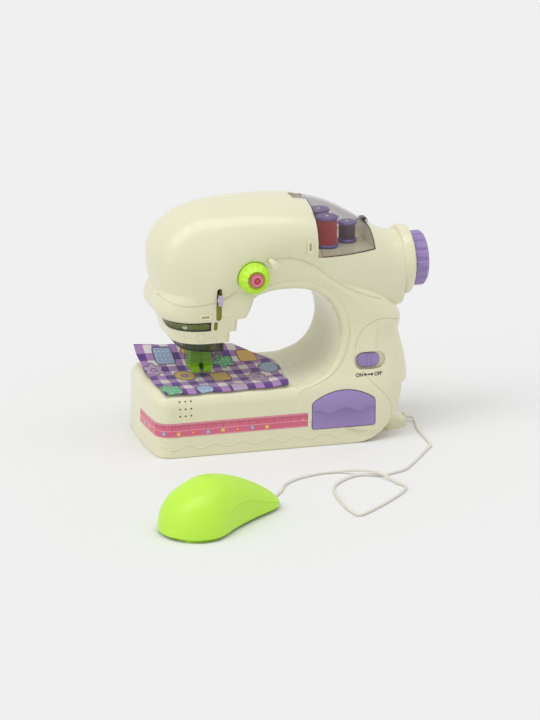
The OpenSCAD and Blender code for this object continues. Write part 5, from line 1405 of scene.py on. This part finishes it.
def make_cloth():
    """Sheet over s from left to right and t from front to back, which curls up behind the needle."""
    share = np.linspace(0, 1, CLOTH_COUNT)
    s, t = np.meshgrid(share, share, indexing="ij")
    left = CLOTH_LEFT - CLOTH_SLANT * t
    right = np.where(t < 0.6, 2 + 11 * t, 8.6 - 29 * ((t - 0.6) / 0.4) ** 2)
    x = left + (right - left) * s
    y = CLOTH_FRONT + (CLOTH_BACK - CLOTH_FRONT) * t ** 1.15
    curl = (np.maximum(t - CURL_START, 0) / (1 - CURL_START)) ** 2 * (CURL_H - CURL_FALL * s)
    wave = 1.1 * s ** 3 * (1 + np.sin(4 * np.pi * t))
    wave += 0.5 * (1 - s) ** 3 * (1 + np.sin(3 * np.pi * t + np.pi / 3))
    droop = 1.2 * np.maximum(1 - 12 * t, 0) ** 1.5
    away = np.clip((np.hypot(x - NEEDLE_X, y) - PRESSED_R) / PRESSED_FADE, 0, 1)
    rumple = 0.35 * away * (1 + np.sin(0.21 * x + 0.13 * y) * np.sin(0.17 * y - 0.09 * x + 1))
    fray_x = 0.5 * np.sin(17 * t) * (s > 0.999) + 0.4 * np.sin(23 * t + 2) * (s < 0.001)
    fray_y = 0.4 * np.sin(21 * s) * ((t < 0.001) | (t > 0.999))
    z = BED_H + 0.45 - droop + curl + wave + rumple + CLOTH_T
    points = np.stack([x + fray_x, y + fray_y, z], 2)
    cloth = solid("checked_cloth", points.reshape(-1, 3), grid_faces(CLOTH_COUNT, CLOTH_COUNT, False))
    if cloth.data.polygons[0].normal.z < 0:
        cloth.data.flip_normals()
    steps = [np.diff(value, axis=1, prepend=value[:, :1]) for value in (y, z)]
    run = np.cumsum(np.hypot(*steps), axis=1)
    lay_flat(cloth, np.stack([x - NEEDLE_X, run], 2).reshape(-1, 2), CLOTH_T)
    finish_piece(cloth, "root", "gingham", "sewing_cloth", gingham_finish(), 50)


def flat_place(s):
    """Millimetre coordinates of a sheet's flat layout."""
    u, v, _ = s.split(s.node("ShaderNodeUVMap", uv_map="flat").outputs[0])
    return s.times(u, 1 / MM), s.times(v, 1 / MM)


def near(s, u, v, place, radius, petals=0, depth=0.0, square=0.0):
    """Signed distance in millimetres to a round, petalled or square motif."""
    du, dv = [s.math("SUBTRACT", value, float(middle)) for value, middle in zip((u, v), place)]
    if square:
        over = [s.math("SUBTRACT", s.math("ABSOLUTE", value), square) for value in (du, dv)]
        du, dv = [s.math("MAXIMUM", value, 0.0) for value in over]
    far = s.distance(du, dv)
    if petals:
        angle = s.times(s.math("ARCTAN2", dv, du), float(petals))
        far = s.math("ADD", far, s.times(s.math("COSINE", angle), depth))
    return s.math("SUBTRACT", far, float(radius))


CHECK = (15.0, 21.0)
# Motifs are drawn out by this share from the front to the back of the cloth
MOTIF_SHARE = 1.45
SPECK_PITCH, SPECK_R = 1.9, 0.55
MOTIF_LINE = 0.95
YELLOW, GREEN = linear(230, 190, 100), linear(92, 190, 132)
LILAC, BLUE = linear(190, 168, 204), linear(160, 184, 222)
# Place, radius, petals, depth of the petals, half side of the square and colour
MOTIFS = [
    ((-35, 8), 8.5, 5, 1.8, 0, GREEN), ((-13, 34), 8.5, 0, 0, 0, YELLOW), ((16, 27), 2.5, 0, 0, 5, YELLOW),
    ((45, 19), 8, 6, 1.4, 0, LILAC), ((-6, 5), 7, 0, 0, 0, BLUE), ((-22, 62), 2.5, 0, 0, 5.5, BLUE),
    ((-36, 46), 7.5, 6, 1.4, 0, LILAC), ((28, 52), 8, 5, 1.8, 0, GREEN), ((51, 57), 2.5, 0, 0, 5, YELLOW),
    ((62, 35), 8, 0, 0, 0, BLUE), ((4, 66), 7.5, 5, 1.6, 0, YELLOW), ((24, 3), 2.5, 0, 0, 4, LILAC),
]


def gingham_finish():
    """Woven check with printed discs, squares and flowers."""
    s = Surface("gingham")
    u, v = flat_place(s)

    def stripe(value, pitch):
        count = s.math("DIVIDE", s.math("ADD", value, 50 * pitch), pitch)
        return s.less(s.math("FRACT", count), 0.5)
    both = s.math("ADD", stripe(u, CHECK[0]), stripe(v, CHECK[1]))
    colour = s.mix(s.more(both, 0.5), linear(242, 234, 232), linear(180, 136, 198))
    colour = s.mix(s.more(both, 1.5), colour, linear(94, 50, 142))
    short = s.math("DIVIDE", v, MOTIF_SHARE)
    cell = [s.math("PINGPONG", value, SPECK_PITCH) for value in (u, short)]
    speck = near(s, *cell, (SPECK_PITCH, SPECK_PITCH), SPECK_R)
    dark = linear(84, 36, 60)
    for place, radius, petals, depth, square, tint in MOTIFS:
        far = near(s, u, short, place, radius, petals, depth, square)
        colour = s.mix(s.less(far, MOTIF_LINE), colour, dark)
        colour = s.mix(s.less(far, 0.0), colour, tint)
        if tint in (GREEN, BLUE):
            dots = s.times(s.less(speck, 0.0), s.less(far, -0.6))
            colour = s.mix(dots, colour, linear(240, 236, 230))
        elif not square:
            inner = near(s, u, short, place, radius * 0.3)
            colour = s.mix(s.less(inner, 0.8), colour, dark)
            colour = s.mix(s.less(inner, 0.0), colour, linear(196, 150, 208))
    warp, weft = [s.math("SINE", s.times(value, 12.0)) for value in (u, v)]
    return s.set(
        Base_Color=s.mix(s.spread(s.noise(500, 3), 0.0, 0.16), colour, linear(120, 96, 130)),
        Roughness=0.85,
        Normal=s.bump(s.times(warp, weft), 0.25, 0.0002),
        Sheen_Weight=0.25,
    )


# Printed strip and switch label
STRIP_Z = (18.6, 31)
STRIP_BEND, STRIP_START, STRIP_END = -60, -90, 18
PRINT_T, STRIP_T = 0.12, 0.2


def make_strip(find):
    rows = []
    for z in np.linspace(*STRIP_Z, 7):
        out = DRAFT * z / (BED_H - EDGE_FRONT) - PRINT_T
        row = [(x, y, z) for x, y in base_half(-1, out, out, 24) if y < -1 and x < STRIP_BEND]
        for x in np.linspace(STRIP_START, STRIP_END, 50):
            row.append((x, min(out - HALF_D, find(x, z) - PRINT_T), z))
        rows.append(row)
    points = np.array(rows)
    keep = points[0, :, :2]
    strip = solid("ruler_strip", points.reshape(-1, 3), grid_faces(len(rows), len(keep), False))
    if strip.data.polygons[len(keep) // 2].normal.y > 0:
        strip.data.flip_normals()
    run = np.concatenate([[0], np.cumsum(np.linalg.norm(np.diff(keep, axis=0), axis=1))])
    lay_flat(strip, columns(np.tile(run, len(rows)), points[:, :, 2].ravel() - STRIP_Z[0]), STRIP_T)
    finish_piece(strip, "root", "pink_plastic", material=strip_finish())


# Step and length of the ticks, and the flowers' count, start, pitch, radius and colours
TICKS, TICK_W, TICK_IN = ((1.5, 2.0), (7.5, 3.2), (15.0, 4.4)), 0.42, 1.3
FLOWERS, FLOWER_START, FLOWER_PITCH, FLOWER_R = 11, 14, 13, 1.7
FLOWER_TINTS = [(120, 170, 214), (230, 186, 84), (224, 96, 60)]


def strip_finish():
    """Printed ruler strip with ticks along its top and a row of flowers below."""
    s = Surface("ruler_print")
    u, v = flat_place(s)
    high = STRIP_Z[1] - STRIP_Z[0]
    colour = s.mix(s.spread(s.noise(60), 0.0, 1.0), linear(212, 96, 126), linear(222, 112, 140))

    def band(low, top):
        return s.times(s.more(v, low), s.less(v, top))
    for low, top in ((0.5, 0.8), (5.6, 5.9), (high - 0.9, high - 0.6), (high - 1.7, high - 1.5)):
        colour = s.mix(s.times(band(low, top), 0.75), colour, linear(240, 214, 222))
    for step, reach in TICKS:
        on = s.less(s.math("FRACT", s.math("DIVIDE", u, step)), TICK_W / step)
        tick = s.times(on, band(high - TICK_IN - reach, high - TICK_IN))
        colour = s.mix(s.times(tick, 0.85), colour, linear(120, 44, 62))
    for i in range(FLOWERS):
        place = (FLOWER_START + FLOWER_PITCH * i, 3.0 + 0.5 * (i % 2))
        far = near(s, u, v, place, FLOWER_R, 5, 0.45)
        colour = s.mix(s.less(far, 0.0), colour, linear(*FLOWER_TINTS[i % 3]))
        colour = s.mix(s.less(far, -1.15), colour, linear(246, 226, 190))
    return s.set(Base_Color=colour, Roughness=s.spread(s.noise(200), 0.16, 0.26))


LABEL_Z, LETTER_H, LETTER_SIZE = 58.5, 3.1, 1.35
LABEL_T, LETTER_BOLD, LABEL_OFF = 0.06, 0.13, 0.04
WORDS = (("ON", 61.6), ("OFF", 78.2))
DOTS, DOT_R = (70.2, 76), 1.15
BAR, BAR_R = (72.3, 74), 0.55


def make_label(find):
    pieces = []
    for words, x in WORDS:
        data = bpy.data.curves.new(words, "FONT")
        data.body = words
        data.size = LETTER_H * LETTER_SIZE * MM
        data.extrude = LABEL_T * MM
        data.offset = LETTER_BOLD * MM
        text = link(bpy.data.objects.new(words, data))
        mesh = final_mesh(text)
        bpy.data.objects.remove(text)
        upright = Matrix.Rotation(math.pi / 2, 4, "X")
        mesh.transform(Matrix.Translation(Vector((x, 0, LABEL_Z)) * MM) @ upright)
        pieces.append(link(bpy.data.objects.new(words, mesh)))
    middle = LABEL_Z + LETTER_H / 2 - 0.1
    marks = [disc(x, middle, DOT_R, 24) for x in DOTS]
    marks.append(stadium(*[(x, middle) for x in BAR], BAR_R, 8))
    pieces += [prism_y("mark", mark, -LABEL_T, LABEL_T) for mark in marks]
    label = join("switch_label", pieces)
    for vertex in label.data.vertices:
        x, y, z = vertex.co / MM
        vertex.co.y = (y + find(x, z) - LABEL_OFF) * MM
    finish_piece(label, "root", "black_plastic", angle=40)


# Studio
PALE, FLOOR = (239, 239, 239), (238, 238, 238)
FLOOR_LOW, FLOOR_HIGH = (-8000, -8000, -20), (8000, 8000, -0.05)
WORLD_LIGHT = 0.6
# Name, direction, strength and angle in degrees
LAMPS = [
    ("key_left", (0.62, 0.17, -0.8), 0.4, 30),
    ("key", (0.25, 0.17, -0.93), 0.42, 30),
    ("key_right", (-0.12, 0.17, -0.95), 0.35, 30),
    ("rim", (-0.48, 0.17, -0.85), 0.18, 30),
    ("fill", (0.9, 0.15, -0.4), 0.26, 50),
]


def make_world():
    """Plain white light, with a pale background where the camera, gloss or clear plastic shows it."""
    world = bpy.data.worlds.new("studio")
    bpy.context.scene.world = world
    world.use_nodes = True
    tree = world.node_tree
    light = tree.nodes["Background"]
    seen = tree.nodes.new("ShaderNodeBackground")
    for node, colour, strength in ((light, (1, 1, 1, 1), WORLD_LIGHT), (seen, linear(*PALE), 1)):
        node.inputs["Color"].default_value = colour
        node.inputs["Strength"].default_value = strength
    path = tree.nodes.new("ShaderNodeLightPath")
    rays = path.outputs["Is Camera Ray"]
    for name in ("Is Glossy Ray", "Is Transmission Ray"):
        either = tree.nodes.new("ShaderNodeMath")
        either.operation = "MAXIMUM"
        tree.links.new(rays, either.inputs[0])
        tree.links.new(path.outputs[name], either.inputs[1])
        rays = either.outputs[0]
    mix = tree.nodes.new("ShaderNodeMixShader")
    for i, value in enumerate((rays, light.outputs[0], seen.outputs[0])):
        tree.links.new(value, mix.inputs[i])
    tree.links.new(mix.outputs[0], tree.nodes["World Output"].inputs[0])


def make_studio():
    bpy.context.scene.view_settings.view_transform = "Standard"
    make_world()
    floor = block("floor", FLOOR_LOW, FLOOR_HIGH)
    look = Surface("floor").set(Base_Color=linear(*FLOOR), Roughness=0.9, Specular_IOR_Level=0.1)
    floor.data.materials.append(look)
    for name, direction, strength, angle in LAMPS:
        data = bpy.data.lights.new(name, "SUN")
        data.energy = strength
        data.angle = math.radians(angle)
        aim(link(bpy.data.objects.new(name, data)), direction)


make_camera()
make_cord()
housing = make_front_shell()
make_back_shell()
make_window()
make_lens()
make_foot()
make_guard()
make_cover()
for spool in SPOOLS:
    make_thread(*spool)
make_dial()
make_drawer()
make_switch()
make_pedal()
make_spring()
make_cloth()
find_front = surface_finder(housing)
make_strip(find_front)
make_label(find_front)
make_studio()

# Finishes of the CAD nodes that stay, from their slots or of their own
own_looks = {"dial_cap": cap_finish(), "needle_carriage": foot_lime}
own_looks.update({"spool_" + spool[0]: spool_purple for spool in SPOOLS})
for row in frame["record"]["subparts"]:
    if row["material_slot"] in materials:
        node = frame["nodes"][row["node"]]
        node.data.materials.clear()
        node.data.materials.append(own_looks.get(row["node"], materials[row["material_slot"]]))
